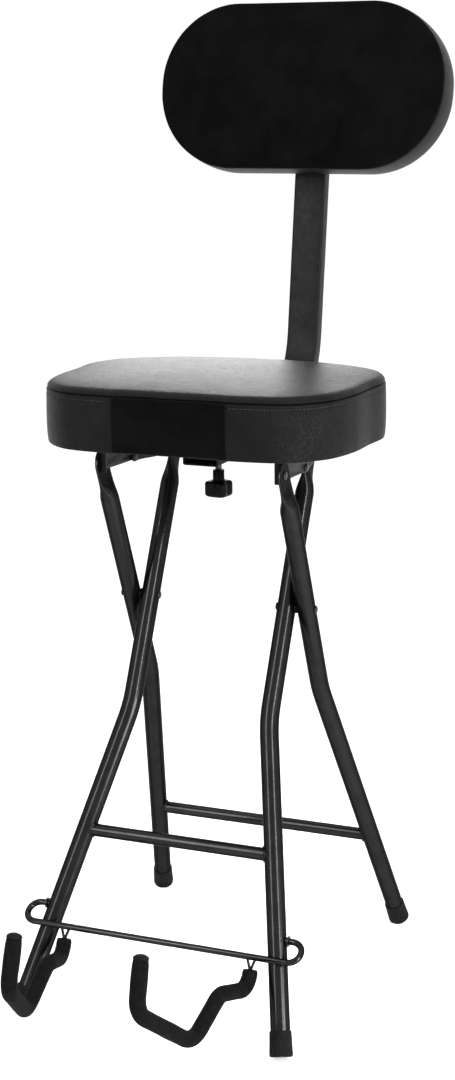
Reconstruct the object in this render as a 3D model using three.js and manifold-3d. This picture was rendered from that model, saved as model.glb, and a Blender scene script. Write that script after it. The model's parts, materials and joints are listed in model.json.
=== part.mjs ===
// A folding guitar stool: upholstered seat and backrest, scissor legs and a wire guitar cradle.
// Millimetres, +Z up, the sitter faces -Y. While it is drawn, the scissor pivot is at Y = 0.

import * as THREE from 'three';
import { mergeVertices } from 'three/addons/utils/BufferGeometryUtils.js';
import Module from 'manifold-3d';

const wasm = await Module();
wasm.setup();

// Clearances and tools
const touchGap = 0.3;
const pinClearance = 0.3;
const overrun = 5;
const weldTolerance = 0.0001;

// Leg tubes, with the two frames crossing at the scissor pivot
const tubeRadius = 11.8;
const tubeWall = 1.2;
const tubeSides = 12;
const legLean = THREE.MathUtils.degToRad(25);
const legBendRadius = 200;
const legTurnStep = THREE.MathUtils.degToRad(3.2);
const scissorHeight = 488.5;
const legTopHeight = 669.5;
const frontLegOffset = 92.2;
const frontBendHeight = 359.2;
const rearBendHeight = 372.6;
const frontFootOffset = 173.5;
const rearFootOffset = 178;

// Flattened upper ends of the legs
const flatThickness = 3.2;
const flatHalfWidth = 17;
const flatLength = 14;
const flatMorph = 40;
const tipShares = [[0.985, 0.17], [0.87, 0.5], [0.5, 0.87], [0, 1]];
const morphShares = [0.2, 0.45, 0.75, 1];
const flatSharpness = 2;

// Cross rungs
const rungRadius = 8;
const rungWall = 1.2;
const rungSides = 12;
const frontRungHeight = 213.1;
const rearRungHeight = 143.7;
const weldRun = 4;
const weldRise = 2;

// Rubber feet
const footRadius = 14;
const footTopRadius = 13.2;
const footHeight = 30;
const footSole = 5.5;
const footChamfer = 1.2;
const footFlat = 1.5;
const fluteDepth = 0.6;
const fluteCount = 10;

// Rivets
const rivetSides = 10;
const pivotRivetRadius = 4;
const pivotHeadRadius = 5.2;
const pivotSpacerThickness = 2.1;
const pivotSpacerRadius = 6.5;
const rivetRadius = 3.5;
const rivetHeadRadius = 5.2;
const smallHeadRadius = 4.3;
const rivetHeadHeight = 2;
const domeShares = [[0.6, 0.88], [1, 0.35]];

// Screws
const screwSides = 8;
const screwRadius = 2.2;
const screwHeadRadius = 4.5;
const screwHeadHeight = 2.4;
const railScrewLength = 12.5;
const sleeveScrewLength = 11.5;
const backrestScrewLength = 11;

// Seat cushion, measured from the underside of its board
const seatRise = 29.7;
const seatPitch = THREE.MathUtils.degToRad(1.5);
const seatHalfWidth = 200;
const seatFrontReach = 152.5;
const seatRearReach = 158;
const seatOutlineShares = [
  [0, -0.981], [0.2, -0.982], [0.44, -1], [0.712, -0.934], [0.9045, -0.685], [0.9775, -0.344],
  [0.988, 0], [0.9955, 0.337], [0.887, 0.648], [0.665, 0.842], [0.433, 0.949], [0.21, 0.993], [0, 1],
];
const seatOutlineSteps = 44;
const seatSeamHeight = 66;
const seatEdgeHeight = 74.2;
const seatCrown = 4;
const seatShoulder = 12;
const seatSeamDraw = 2.2;
const sideHeightShares = [0.05, 0.3, 0.76, 0.94, 1];
const sideDrawShares = [0.5, 0, 0.25, 0.65, 1];
const shoulderRiseShares = [0.4, 0.8, 1];
const shoulderInsetShares = [0.1, 0.4, 1];
const crownShares = [0.8, 0.45];
const coverThickness = 1.2;
const coverFootDraw = 1.4;
const coverLip = 14;
const boardThickness = 12;
const boardInset = 3;
const panelSpanSteps = 3;
const panelThickness = 1.2;
const panelHeightShares = [0.04, 0.3, 0.76, 0.94];
const panelDrawShares = [0.5, 0, 0.25, 0.65];

// Steel rails that carry the seat on the legs
const railThickness = 2.2;
const railFlangeWidth = 26;
const railFront = 92;
const railRear = 100;
const railFrontDrop = 38;
const railCheekDrop = 35.5;
const railRearDrop = 14;
const railLobeRadius = 6;
const railLobeSteps = 4;
const railLobeStart = THREE.MathUtils.degToRad(235);
const railLobeEnd = THREE.MathUtils.degToRad(305);
const railLipWidth = 5;
const railLipThickness = 1.8;
const railScrewPlaces = [-62, 68];
const railScrewInset = 10;

// Fold links between the rails and the front legs
const linkPivotDrop = 4;
const linkWidth = 14;
const linkThickness = 2.5;
const linkJoggleShares = [0.142, 0.533];

// Backrest bar, a rectangular tube bent upward behind the seat
const barWidth = 42;
const barDepth = 21;
const barWall = 1.5;
const barCorner = 3;
const barCornerSteps = 2;
const barFront = -46;
const barCornerReach = 301.6;
const barLean = THREE.MathUtils.degToRad(8.5);
const barBendRadius = 120;
const barTurnStep = THREE.MathUtils.degToRad(8.5);
const barTopRise = 45;
const plugPlate = 2.5;
const plugDepth = 12;

// Sleeve that the bar slides in, with its clamp
const sleeveWall = 1.6;
const sleeveCorner = 2.5;
const sleeveClearance = 0.4;
const sleeveSlack = 4;
const sleeveFront = -56;
const sleeveRear = 94;
const earWidth = 17;
const earLength = 34;
const earPlace = 36;
const clampPlace = 2;
const clampNutFlats = 15;
const clampNutHeight = 6.5;
const studRadius = 4;
const studClearance = 0.6;
const studShow = 8.4;
const knobBoreDepth = 12;
const knobNeckRadius = 7.2;
const knobNeckLength = 13.9;
const knobRadius = 17.5;
const knobHeight = 19.6;
const knobChamfer = 2;
const knobLobes = 4;
const knobLobeDepth = 4.4;
const knobRestTurn = THREE.MathUtils.degToRad(35);

// Backrest pad, drawn lying on its back: X across, Y up the pad, Z toward the sitter
const padPlaceY = 293.5;
const padPlaceZ = 417.7;
const padTilt = THREE.MathUtils.degToRad(11.5);
const padHalfWidth = 198;
const padHalfHeight = 110;
const padCorner = 106;
const padCornerSteps = 12;
const padOutlineSteps = 40;
const padThickness = 54;
const padCrown = 6;
const padSeamDepth = 5;
const padSeamDraw = 1.6;
const padShoulder = 9;
const padBoardThickness = 9;
const padBackThickness = 1;
const padRearDraw = 1.8;
const padSideShares = [0, 0.15, 0.8, 1];
const padSideDrawShares = [0.7, 0, 0.2, 1];
const padShoulderShares = [[0.1, 0.15], [0.4, 0.72], [1, 1]];

// Steel bracket that joins the pad to the bar
const bracketThickness = 2.5;
const bracketHalfWidth = 36;
const bracketHalfHeight = 50;
const bracketCorner = 6;
const bracketMargin = 9;
const bracketHoleX = 30;
const boltRadius = 3;
const boltHeadRadius = 5.5;
const boltHeadHeight = 3;
const boltSpacing = 60;

// Guitar cradle
const wireRadius = 3.9;
const wireSides = 8;
const cradlePivotHeight = 125;
const cradleLoopSize = 29.4;
const cradleLoopShare = 0.48;
const cradleHalfWidth = 179.8;
const wireTurnStep = THREE.MathUtils.degToRad(24);
const pushNutRadius = 6.5;
const pushNutThickness = 2;
const pushNutStandoff = 1.4;
const armOffset = 122.5;
const armWeldRun = 9;
const armReach = 255.9;
const armDrop = 64.8;
const armBendShares = [
  [1, -0.139, -0.802], [0.909, -0.38, -0.525], [0.861, -0.643, -1],
  [0.64, -1, 0.088], [0.632, -0.938, 0.954],
];
const armBendRadii = [19, 26, 33, 26];
const foamRadius = 9.5;
const foamBore = 4.2;
const foamStart = 15.5;
const tipCapHeight = 6;
const tipStem = 10;

// Materials
const paint = new THREE.MeshStandardMaterial({ color: 0x1b1b1d, roughness: 0.42, metalness: 0.2 });
const zinc = new THREE.MeshStandardMaterial({ color: 0x8e8f90, roughness: 0.35, metalness: 1 });
const blackSteel = new THREE.MeshStandardMaterial({ color: 0x2a2a2c, roughness: 0.35, metalness: 0.8 });
const leather = new THREE.MeshStandardMaterial({ color: 0x1f1f21, roughness: 0.55, metalness: 0 });
const velvet = new THREE.MeshStandardMaterial({ color: 0x101012, roughness: 0.95, metalness: 0 });
const padFoam = new THREE.MeshStandardMaterial({ color: 0xd8cfa8, roughness: 0.95, metalness: 0 });
const plywood = new THREE.MeshStandardMaterial({ color: 0xb18b5e, roughness: 0.8, metalness: 0 });
const rubber = new THREE.MeshStandardMaterial({ color: 0x161617, roughness: 0.8, metalness: 0 });
const gripFoam = new THREE.MeshStandardMaterial({ color: 0x222224, roughness: 0.95, metalness: 0 });
const plastic = new THREE.MeshStandardMaterial({ color: 0x1a1a1c, roughness: 0.4, metalness: 0 });

const axisX = new THREE.Vector3(1, 0, 0);
const axisY = new THREE.Vector3(0, 1, 0);
const axisZ = new THREE.Vector3(0, 0, 1);

// Sizes that follow from the driving dimensions
const rearLegOffset = frontLegOffset + 2 * tubeRadius + pivotSpacerThickness + 2 * touchGap;
const leanSlope = Math.tan(legLean);
const seatHeight = legTopHeight + seatRise;
const linkPivotHeight = legTopHeight - linkPivotDrop;
const topSpread = (legTopHeight - scissorHeight) * leanSlope;
const railOuter = rearLegOffset - flatThickness / 2 - touchGap;
const railInner = railOuter - railThickness;
const linkOuterPlane = railInner - touchGap;
const linkInnerPlane = frontLegOffset + flatThickness / 2 + touchGap;
const seatRivetPlace = toSeat(-topSpread, legTopHeight);
const linkRivetPlace = toSeat(0, linkPivotHeight);
const sleeveWidth = barWidth + 2 * (sleeveClearance + sleeveWall);
const sleeveDepth = barDepth + 2 * (sleeveClearance + sleeveWall) + sleeveSlack;
const sleeveLevel = -touchGap - sleeveDepth / 2;
const barLevel = sleeveLevel + sleeveSlack / 2;
const barCornerPoint = new THREE.Vector3(0, barCornerReach, barLevel);
const barUp = new THREE.Vector3(0, Math.sin(barLean), Math.cos(barLean));
const barAtPad = -toPad(barCornerPoint).y / Math.cos(padTilt - barLean);

const frontLeg = { facing: -1, upper: frontLegOffset, bend: frontBendHeight, foot: frontFootOffset };
const rearLeg = { facing: 1, upper: rearLegOffset, bend: rearBendHeight, foot: rearFootOffset };

// Small geometry tools

function weld(geometry) {
  const bare = geometry.clone();
  bare.deleteAttribute('normal');
  bare.deleteAttribute('uv');
  const welded = mergeVertices(bare, weldTolerance);
  const source = welded.index.array;
  const kept = [];
  for (let i = 0; i < source.length; i += 3) {
    const [a, b, c] = [source[i], source[i + 1], source[i + 2]];
    if (a !== b && b !== c && c !== a) {
      kept.push(a, b, c);
    }
  }
  welded.setIndex(kept);
  return outward(welded);
}

function outward(geometry) {
  const place = geometry.attributes.position;
  const index = geometry.index.array;
  const corners = [new THREE.Vector3(), new THREE.Vector3(), new THREE.Vector3()];
  let volume = 0;
  for (let i = 0; i < index.length; i += 3) {
    corners.forEach((corner, k) => corner.fromBufferAttribute(place, index[i + k]));
    volume += corners[0].dot(corners[1].clone().cross(corners[2]));
  }
  if (volume < 0) {
    const flipped = [];
    for (let i = 0; i < index.length; i += 3) {
      flipped.push(index[i], index[i + 2], index[i + 1]);
    }
    geometry.setIndex(flipped);
  }
  return geometry;
}

function capRing(index, first, count) {
  let low = 0;
  let high = count - 1;
  while (high - low > 1) {
    index.push(first + low, first + low + 1, first + high);
    if (high - low > 2) {
      index.push(first + low + 1, first + high - 1, first + high);
    }
    low += 1;
    high -= 1;
  }
}

// Skin over rings with equal counts of points. A closed skin joins its last ring to its first.
function skin(rings, closed) {
  const count = rings[0].length;
  const places = rings.flat().flatMap((point) => point.toArray());
  const index = [];
  const bands = closed ? rings.length : rings.length - 1;
  for (let ring = 0; ring < bands; ring += 1) {
    const next = (ring + 1) % rings.length;
    for (let j = 0; j < count; j += 1) {
      const k = (j + 1) % count;
      index.push(ring * count + j, ring * count + k, next * count + k);
      index.push(ring * count + j, next * count + k, next * count + j);
    }
  }
  if (!closed) {
    const start = [];
    capRing(start, 0, count);
    for (let i = 0; i < start.length; i += 3) {
      index.push(start[i], start[i + 2], start[i + 1]);
    }
    capRing(index, (rings.length - 1) * count, count);
  }
  const geometry = new THREE.BufferGeometry();
  geometry.setAttribute('position', new THREE.Float32BufferAttribute(places, 3));
  geometry.setIndex(index);
  return outward(geometry);
}

function mirrored(geometry) {
  const copy = geometry.clone();
  copy.applyMatrix4(new THREE.Matrix4().makeScale(-1, 1, 1));
  return outward(copy);
}

function toSolid(geometry) {
  const welded = weld(geometry);
  const vertProperties = Float32Array.from(welded.attributes.position.array);
  const triVerts = Uint32Array.from(welded.index.array);
  return new wasm.Manifold(new wasm.Mesh({ numProp: 3, vertProperties, triVerts }));
}

function fromSolid(solid) {
  const mesh = solid.getMesh();
  const geometry = new THREE.BufferGeometry();
  geometry.setAttribute('position', new THREE.Float32BufferAttribute(mesh.vertProperties, 3));
  geometry.setIndex(Array.from(mesh.triVerts));
  return geometry;
}

function cut(body, tools) {
  return fromSolid(tools.reduce((solid, tool) => solid.subtract(toSolid(tool)), toSolid(body)));
}

function join(pieces) {
  return fromSolid(pieces.slice(1).reduce((solid, piece) => solid.add(toSolid(piece)), toSolid(pieces[0])));
}

function overlapOf(first, second) {
  return fromSolid(toSolid(first).intersect(toSolid(second)));
}

// Line of stations through the corners, with an arc of the given radius at each inner corner
function roundedPath(corners, radii, turnStep) {
  const start = corners[1].clone().sub(corners[0]).normalize();
  const stations = [{ point: corners[0].clone(), tangent: start }];
  for (let i = 1; i < corners.length - 1; i += 1) {
    const before = corners[i].clone().sub(corners[i - 1]).normalize();
    const after = corners[i + 1].clone().sub(corners[i]).normalize();
    const turn = before.angleTo(after);
    const axis = before.clone().cross(after).normalize();
    const reach = radii[i - 1] * Math.tan(turn / 2);
    const first = corners[i].clone().addScaledVector(before, -reach);
    const centre = first.clone().addScaledVector(axis.clone().cross(before), radii[i - 1]);
    const steps = Math.ceil(turn / turnStep);
    for (let step = 0; step <= steps; step += 1) {
      const angle = (turn * step) / steps;
      const point = first.clone().sub(centre).applyAxisAngle(axis, angle).add(centre);
      stations.push({ point, tangent: before.clone().applyAxisAngle(axis, angle) });
    }
  }
  const end = corners.at(-1).clone().sub(corners.at(-2)).normalize();
  stations.push({ point: corners.at(-1).clone(), tangent: end });
  return stations;
}

// Rings of a flat section carried along the stations without twist, from a given first axis
function ringsFrom(stations, section, first) {
  const side = first.clone();
  let tangent = stations[0].tangent;
  side.addScaledVector(tangent, -side.dot(tangent)).normalize();
  return stations.map((station) => {
    side.applyQuaternion(new THREE.Quaternion().setFromUnitVectors(tangent, station.tangent));
    tangent = station.tangent;
    const up = tangent.clone().cross(side);
    return section.map((point) => (
      station.point.clone().addScaledVector(side, point.x).addScaledVector(up, point.y)
    ));
  });
}

function ringsAlong(stations, section) {
  return ringsFrom(stations, section, axisX);
}

function rod(stations, section) {
  return skin(ringsAlong(stations, section), false);
}

function pipe(stations, outer, inner) {
  return skin([...ringsAlong(stations, outer), ...ringsAlong(stations, inner).reverse()], true);
}

// Flat outlines

function circleLoop(radius, sides) {
  const points = [];
  for (let i = 0; i < sides; i += 1) {
    const angle = (2 * Math.PI * i) / sides;
    points.push(new THREE.Vector2(radius * Math.cos(angle), radius * Math.sin(angle)));
  }
  return points;
}

// Rounded rectangle that starts in the middle of its +X side
function roundedLoop(width, height, radius, steps) {
  const points = [new THREE.Vector2(width / 2, 0)];
  const centres = [[1, 1], [-1, 1], [-1, -1], [1, -1]];
  centres.forEach(([signX, signY], quarter) => {
    for (let step = 0; step <= steps; step += 1) {
      const angle = (Math.PI / 2) * (quarter + step / steps);
      const x = signX * (width / 2 - radius) + radius * Math.cos(angle);
      const y = signY * (height / 2 - radius) + radius * Math.sin(angle);
      points.push(new THREE.Vector2(x, y));
    }
  });
  return points;
}

function insetLoop(loop, inset) {
  return loop.map((point, i) => {
    const before = loop[(i + loop.length - 1) % loop.length];
    const after = loop[(i + 1) % loop.length];
    const along = after.clone().sub(before).normalize();
    return new THREE.Vector2(point.x - along.y * inset, point.y + along.x * inset);
  });
}

function raised(loop, height) {
  return loop.map((point) => new THREE.Vector3(point.x, point.y, height));
}

function shapeWithHoles(loop, holes) {
  const shape = new THREE.Shape(loop);
  for (const hole of holes) {
    const points = circleLoop(hole.radius, screwSides);
    shape.holes.push(new THREE.Path(points.map((point) => point.add(hole.place))));
  }
  return shape;
}

// Plates and barrels along the three axes

function plateAlongX(shape, from, to) {
  const geometry = new THREE.ExtrudeGeometry(shape, { depth: to - from, bevelEnabled: false });
  geometry.applyMatrix4(new THREE.Matrix4().makeBasis(axisY, axisZ, axisX));
  return weld(geometry.translate(from, 0, 0));
}

function plateAlongY(shape, from, to) {
  const geometry = new THREE.ExtrudeGeometry(shape, { depth: to - from, bevelEnabled: false });
  geometry.applyMatrix4(new THREE.Matrix4().makeBasis(axisX, axisZ, axisY.clone().negate()));
  return weld(geometry.translate(0, to, 0));
}

function plateAlongZ(shape, from, to) {
  const geometry = new THREE.ExtrudeGeometry(shape, { depth: to - from, bevelEnabled: false });
  return weld(geometry.translate(0, 0, from));
}

function barrelAlongX(radius, sides, from, to, y, z) {
  const barrel = plateAlongX(new THREE.Shape(circleLoop(radius, sides)), from, to);
  return barrel.translate(0, y, z);
}

function barrelAlongZ(radius, sides, from, to, x, y) {
  const barrel = plateAlongZ(new THREE.Shape(circleLoop(radius, sides)), from, to);
  return barrel.translate(x, y, 0);
}

function block(fromX, toX, fromY, toY, fromZ, toZ) {
  const geometry = new THREE.BoxGeometry(toX - fromX, toY - fromY, toZ - fromZ);
  return weld(geometry.translate((fromX + toX) / 2, (fromY + toY) / 2, (fromZ + toZ) / 2));
}

// Turned pieces from a profile of [place along the axis, radius]

function turned(profile, sides) {
  const points = profile.map(([along, radius]) => new THREE.Vector2(radius, along));
  return new THREE.LatheGeometry(points, sides);
}

function turnedAlongX(profile, sides, y, z) {
  return weld(turned(profile, sides).rotateZ(-Math.PI / 2)).translate(0, y, z);
}

function turnedAlongZ(profile, sides, x, y) {
  return weld(turned(profile, sides).rotateX(Math.PI / 2)).translate(x, y, 0);
}

// Half of a rivet's profile: its domed head, drawn from the middle outward to the shank
function headProfile(face, away, headRadius) {
  const seat = face + away * touchGap;
  const dome = domeShares.map(([radiusShare, riseShare]) => (
    [seat + away * riseShare * rivetHeadHeight, radiusShare * headRadius]
  ));
  return [[seat + away * rivetHeadHeight, 0], ...dome, [seat, headRadius]];
}

// Rivet along X through the stack between two faces. A head radius of zero leaves that end flush.
function rivet(radius, innerFace, innerHead, outerFace, outerHead, y, z) {
  const inner = innerHead > 0 ? headProfile(innerFace, -1, innerHead) : [[innerFace, 0]];
  const outer = outerHead > 0 ? headProfile(outerFace, 1, outerHead).reverse() : [[outerFace, 0]];
  const from = inner.at(-1)[0];
  const to = outer[0][0];
  return turnedAlongX([...inner, [from, radius], [to, radius], ...outer], rivetSides, y, z);
}

// Pan-head screw whose head sits under the given level and whose shank points up
function screw(x, y, level, length) {
  const dome = domeShares.map(([radiusShare, riseShare]) => (
    [level - riseShare * screwHeadHeight, radiusShare * screwHeadRadius]
  ));
  const profile = [
    [level - screwHeadHeight, 0], ...dome, [level, screwHeadRadius], [level, screwRadius],
    [level + length - screwRadius, screwRadius], [level + length, 0],
  ];
  return turnedAlongZ(profile, screwSides, x, y);
}

// Places

function toSeat(y, z) {
  const rise = z - seatHeight;
  return {
    y: y * Math.cos(seatPitch) + rise * Math.sin(seatPitch),
    z: -y * Math.sin(seatPitch) + rise * Math.cos(seatPitch),
  };
}

// Height up the pad (y) and distance toward the sitter (z) of a point given in the seat's frame
function toPad(point) {
  const y = point.y - padPlaceY;
  const z = point.z - padPlaceZ;
  return {
    y: y * Math.sin(padTilt) + z * Math.cos(padTilt),
    z: -y * Math.cos(padTilt) + z * Math.sin(padTilt),
  };
}

function legPoint(leg, height) {
  const drop = Math.max(leg.bend - height, 0);
  const x = leg.upper + ((leg.foot - leg.upper) * drop) / leg.bend;
  return new THREE.Vector3(x, leg.facing * (scissorHeight - height) * leanSlope, height);
}

function barPoint(rise) {
  return barCornerPoint.clone().addScaledVector(barUp, rise);
}

// Legs

// Section between the flattened end (blend 0) and the round tube (blend 1)
function legSection(blend, widthShare) {
  return circleLoop(1, tubeSides).map((point) => {
    const flatX = THREE.MathUtils.clamp(flatSharpness * point.x, -1, 1) * (flatThickness / 2);
    const flatY = point.y * flatHalfWidth * widthShare;
    return new THREE.Vector2(
      THREE.MathUtils.lerp(flatX, point.x * tubeRadius, blend),
      THREE.MathUtils.lerp(flatY, point.y * tubeRadius, blend),
    );
  });
}

function soleCentre(leg) {
  const ground = legPoint(leg, 0);
  const up = legPoint(leg, leg.bend).sub(ground).normalize();
  const tilt = up.angleTo(axisZ);
  const level = footRadius * Math.sin(tilt) - footFlat;
  return { point: ground.addScaledVector(up, level / up.z), up };
}

function legTube(leg) {
  const rivetPoint = legPoint(leg, legTopHeight);
  const down = legPoint(leg, leg.bend).sub(rivetPoint).normalize();
  const along = (distance) => rivetPoint.clone().addScaledVector(down, distance);
  const upper = [
    ...tipShares.map(([reach, width]) => ({ place: -reach * flatHalfWidth, width, blend: 0 })),
    { place: flatLength, width: 1, blend: 0 },
    ...morphShares.map((share) => (
      { place: flatLength + share * flatMorph, width: 1, blend: THREE.MathUtils.smoothstep(share, 0, 1) }
    )),
  ];
  const flatRings = upper.map(({ place, width, blend }) => (
    ringsAlong([{ point: along(place), tangent: down }], legSection(blend, width))[0]
  ));
  const bend = legPoint(leg, leg.bend);
  const sole = soleCentre(leg);
  const end = sole.point.clone().addScaledVector(sole.up, footSole + touchGap);
  const outerPath = roundedPath([along(flatLength + flatMorph), bend, end], [legBendRadius], legTurnStep);
  const boreTop = along(flatLength + flatMorph + 2 * tubeWall);
  const borePath = roundedPath([boreTop, bend, end], [legBendRadius], legTurnStep);
  const outer = ringsAlong(outerPath, circleLoop(tubeRadius, tubeSides)).slice(1);
  const bore = ringsAlong(borePath, circleLoop(tubeRadius - tubeWall, tubeSides)).reverse();
  return skin([...flatRings, ...outer, ...bore], false);
}

function legHoles(leg) {
  const top = legPoint(leg, legTopHeight);
  const from = leg.upper - tubeRadius - overrun;
  const to = leg.upper + tubeRadius + overrun;
  const topHole = barrelAlongX(rivetRadius + pinClearance, rivetSides, from, to, top.y, top.z);
  const pivotHole = barrelAlongX(pivotRivetRadius + pinClearance, rivetSides, from, to, 0, scissorHeight);
  return [topHole, pivotHole];
}

function frontLegTube() {
  const pivot = legPoint(frontLeg, cradlePivotHeight);
  const reach = pivot.x + tubeRadius + pushNutStandoff + overrun;
  const wireHole = barrelAlongX(wireRadius + pinClearance, wireSides, pivot.x, reach, pivot.y, pivot.z);
  return cut(legTube(frontLeg), [...legHoles(frontLeg), wireHole]);
}

function rearLegTube() {
  return cut(legTube(rearLeg), legHoles(rearLeg));
}

function foot(leg) {
  const { point, up } = soleCentre(leg);
  const ringAt = (rise, radius, flute) => {
    const section = circleLoop(1, 2 * fluteCount).map((unit, i) => (
      unit.multiplyScalar(radius - (i % 2) * flute)
    ));
    return ringsAlong([{ point: point.clone().addScaledVector(up, rise), tangent: up }], section)[0];
  };
  const bore = tubeRadius + touchGap;
  const body = skin([
    ringAt(0, footRadius - footChamfer, 0),
    ringAt(footChamfer, footRadius, fluteDepth),
    ringAt(footHeight - footChamfer, footTopRadius, fluteDepth),
    ringAt(footHeight, footTopRadius - fluteDepth, 0),
    ringAt(footHeight, bore, 0),
    ringAt(footSole, bore, 0),
  ], false);
  const spread = footHeight + overrun;
  const floor = block(
    point.x - spread, point.x + spread, point.y - spread, point.y + spread, -spread, 0,
  );
  return cut(body, [floor]);
}

function rung(leg, height) {
  const centre = legPoint(leg, height);
  const shoulder = centre.x - tubeRadius;
  const weldRadius = rungRadius + weldRise;
  const bore = rungRadius - rungWall;
  const ring = (x, radius) => circleLoop(radius, rungSides).map((point) => (
    new THREE.Vector3(x, centre.y + point.x, centre.z + point.y)
  ));
  const tube = skin([
    ring(-centre.x, weldRadius), ring(-shoulder, weldRadius), ring(weldRun - shoulder, rungRadius),
    ring(shoulder - weldRun, rungRadius), ring(shoulder, weldRadius), ring(centre.x, weldRadius),
    ring(centre.x, bore), ring(-centre.x, bore),
  ], true);
  const { up } = soleCentre(leg);
  const half = 2 * weldRadius + overrun;
  const envelopeStations = [-half, half].map((reach) => (
    { point: centre.clone().addScaledVector(up, reach), tangent: up }
  ));
  const envelope = rod(envelopeStations, circleLoop(tubeRadius + touchGap, 2 * tubeSides));
  return cut(tube, [envelope, mirrored(envelope)]);
}

function pivotRivet() {
  const inner = frontLegOffset - tubeRadius;
  const outer = rearLegOffset + tubeRadius;
  return rivet(pivotRivetRadius, inner, pivotHeadRadius, outer, pivotHeadRadius, 0, scissorHeight);
}

function washer(radius, bore, from, to, sides, y, z) {
  return turnedAlongX([[from, bore], [from, radius], [to, radius], [to, bore], [from, bore]], sides, y, z);
}

function pivotSpacer() {
  const from = frontLegOffset + tubeRadius + touchGap;
  const bore = pivotRivetRadius + pinClearance;
  return washer(pivotSpacerRadius, bore, from, from + pivotSpacerThickness, rungSides, 0, scissorHeight);
}

function seatPivotRivet() {
  const outer = rearLegOffset + flatThickness / 2;
  return rivet(rivetRadius, railInner, smallHeadRadius, outer, rivetHeadRadius, -topSpread, legTopHeight);
}

function legTopRivet() {
  const inner = frontLegOffset - flatThickness / 2;
  const outer = frontLegOffset + flatThickness / 2;
  return rivet(rivetRadius, inner, rivetHeadRadius, outer, 0, topSpread, legTopHeight);
}

// Fold links, drawn with their lower rivet at the origin and lying along Y. The pin at the far end is
// closed over the link, and is one piece with it.

function linkLength() {
  return Math.hypot(topSpread, linkPivotDrop);
}

function foldLink() {
  const half = linkWidth / 2;
  const length = linkLength();
  const [joggleStart, joggleEnd] = linkJoggleShares.map((share) => share * length);
  const outer = linkOuterPlane;
  const inner = linkInnerPlane;
  const side = new THREE.Shape([
    new THREE.Vector2(outer - linkThickness, -half), new THREE.Vector2(outer, -half),
    new THREE.Vector2(outer, joggleStart), new THREE.Vector2(inner + linkThickness, joggleEnd),
    new THREE.Vector2(inner + linkThickness, length + half), new THREE.Vector2(inner, length + half),
    new THREE.Vector2(inner, joggleEnd), new THREE.Vector2(outer - linkThickness, joggleStart),
  ]);
  const strip = plateAlongZ(side, -half, half);
  const outline = roundedLoop(length + linkWidth, linkWidth + touchGap, half, rungSides / 2);
  const from = inner - overrun;
  const to = outer + overrun;
  const ends = plateAlongX(new THREE.Shape(outline), from, to).translate(0, length / 2, 0);
  const hole = barrelAlongX(rivetRadius + pinClearance, rivetSides, from, to, 0, 0);
  const face = inner + linkThickness - touchGap;
  const pin = rivet(rivetRadius, inner + touchGap, 0, face, rivetHeadRadius, length, 0);
  return join([cut(overlapOf(strip, ends), [hole]), pin]);
}

// Seat

function seatOutline() {
  const right = seatOutlineShares.map(([x, y]) => new THREE.Vector3(
    x * seatHalfWidth, y * (y < 0 ? seatFrontReach : seatRearReach), 0,
  ));
  const left = right.slice(1, -1).reverse().map((point) => new THREE.Vector3(-point.x, point.y, 0));
  const curve = new THREE.CatmullRomCurve3([...right, ...left], true);
  const even = curve.getSpacedPoints(seatOutlineSteps).slice(0, seatOutlineSteps);
  return even.map((point) => new THREE.Vector2(point.x, point.y));
}

// Same outline, but its first point is on the +X side
function fromTheSide(loop) {
  const quarter = loop.length / 4;
  return [...loop.slice(quarter), ...loop.slice(0, quarter)];
}

const seatLoop = fromTheSide(seatOutline());

// Side and shoulder of the seat cover as [inset, height], moved inward by a thickness
function seatProfile(depth) {
  const side = sideHeightShares.map((share, i) => (
    [sideDrawShares[i] * seatSeamDraw + depth, share * seatSeamHeight]
  ));
  const rise = seatEdgeHeight - seatSeamHeight;
  const shoulder = shoulderRiseShares.map((share, i) => {
    const inset = seatSeamDraw * (1 - share) + shoulderInsetShares[i] * seatShoulder;
    return [inset + depth, seatSeamHeight + share * rise - share * depth];
  });
  return [...side, ...shoulder];
}

function crownRings(loop, profile, crown) {
  const rings = profile.map(([inset, height]) => raised(insetLoop(loop, inset), height));
  const [edgeInset, edgeHeight] = profile.at(-1);
  const edge = insetLoop(loop, edgeInset);
  for (const share of crownShares) {
    const height = edgeHeight + crown * (1 - share * share);
    rings.push(edge.map((point) => new THREE.Vector3(point.x * share, point.y * share, height)));
  }
  return rings;
}

function seatCover() {
  const under = -touchGap - coverThickness;
  const outer = [[coverFootDraw, under], ...seatProfile(0)];
  const inner = [[coverFootDraw + coverThickness, -touchGap], ...seatProfile(coverThickness)];
  const lip = [[coverLip, -touchGap], [coverLip, under]];
  const lipRings = lip.map(([inset, height]) => raised(insetLoop(seatLoop, inset), height));
  const innerRings = crownRings(seatLoop, inner, seatCrown).reverse();
  return skin([...innerRings, ...lipRings, ...crownRings(seatLoop, outer, seatCrown)], false);
}

function seatFoam() {
  const depth = coverThickness + touchGap;
  const bottom = boardThickness + touchGap;
  const above = seatProfile(depth).filter(([, height]) => height > bottom);
  const foot = sideDrawShares[0] * seatSeamDraw + depth;
  return skin(crownRings(seatLoop, [[foot, bottom], ...above], seatCrown), false);
}

function railScrewHoles() {
  const x = railOuter - railFlangeWidth + railScrewInset;
  const radius = screwRadius + pinClearance;
  return railScrewPlaces.flatMap((y) => [
    { place: new THREE.Vector2(x, y), radius }, { place: new THREE.Vector2(-x, y), radius },
  ]);
}

function sleeveScrewHoles() {
  const x = sleeveWidth / 2 + earWidth / 2;
  const radius = screwRadius + pinClearance;
  return [x, -x].map((side) => ({ place: new THREE.Vector2(side, earPlace), radius }));
}

function seatBoard() {
  const holes = [...railScrewHoles(), ...sleeveScrewHoles()];
  return plateAlongZ(shapeWithHoles(insetLoop(seatLoop, boardInset), holes), 0, boardThickness);
}

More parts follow.
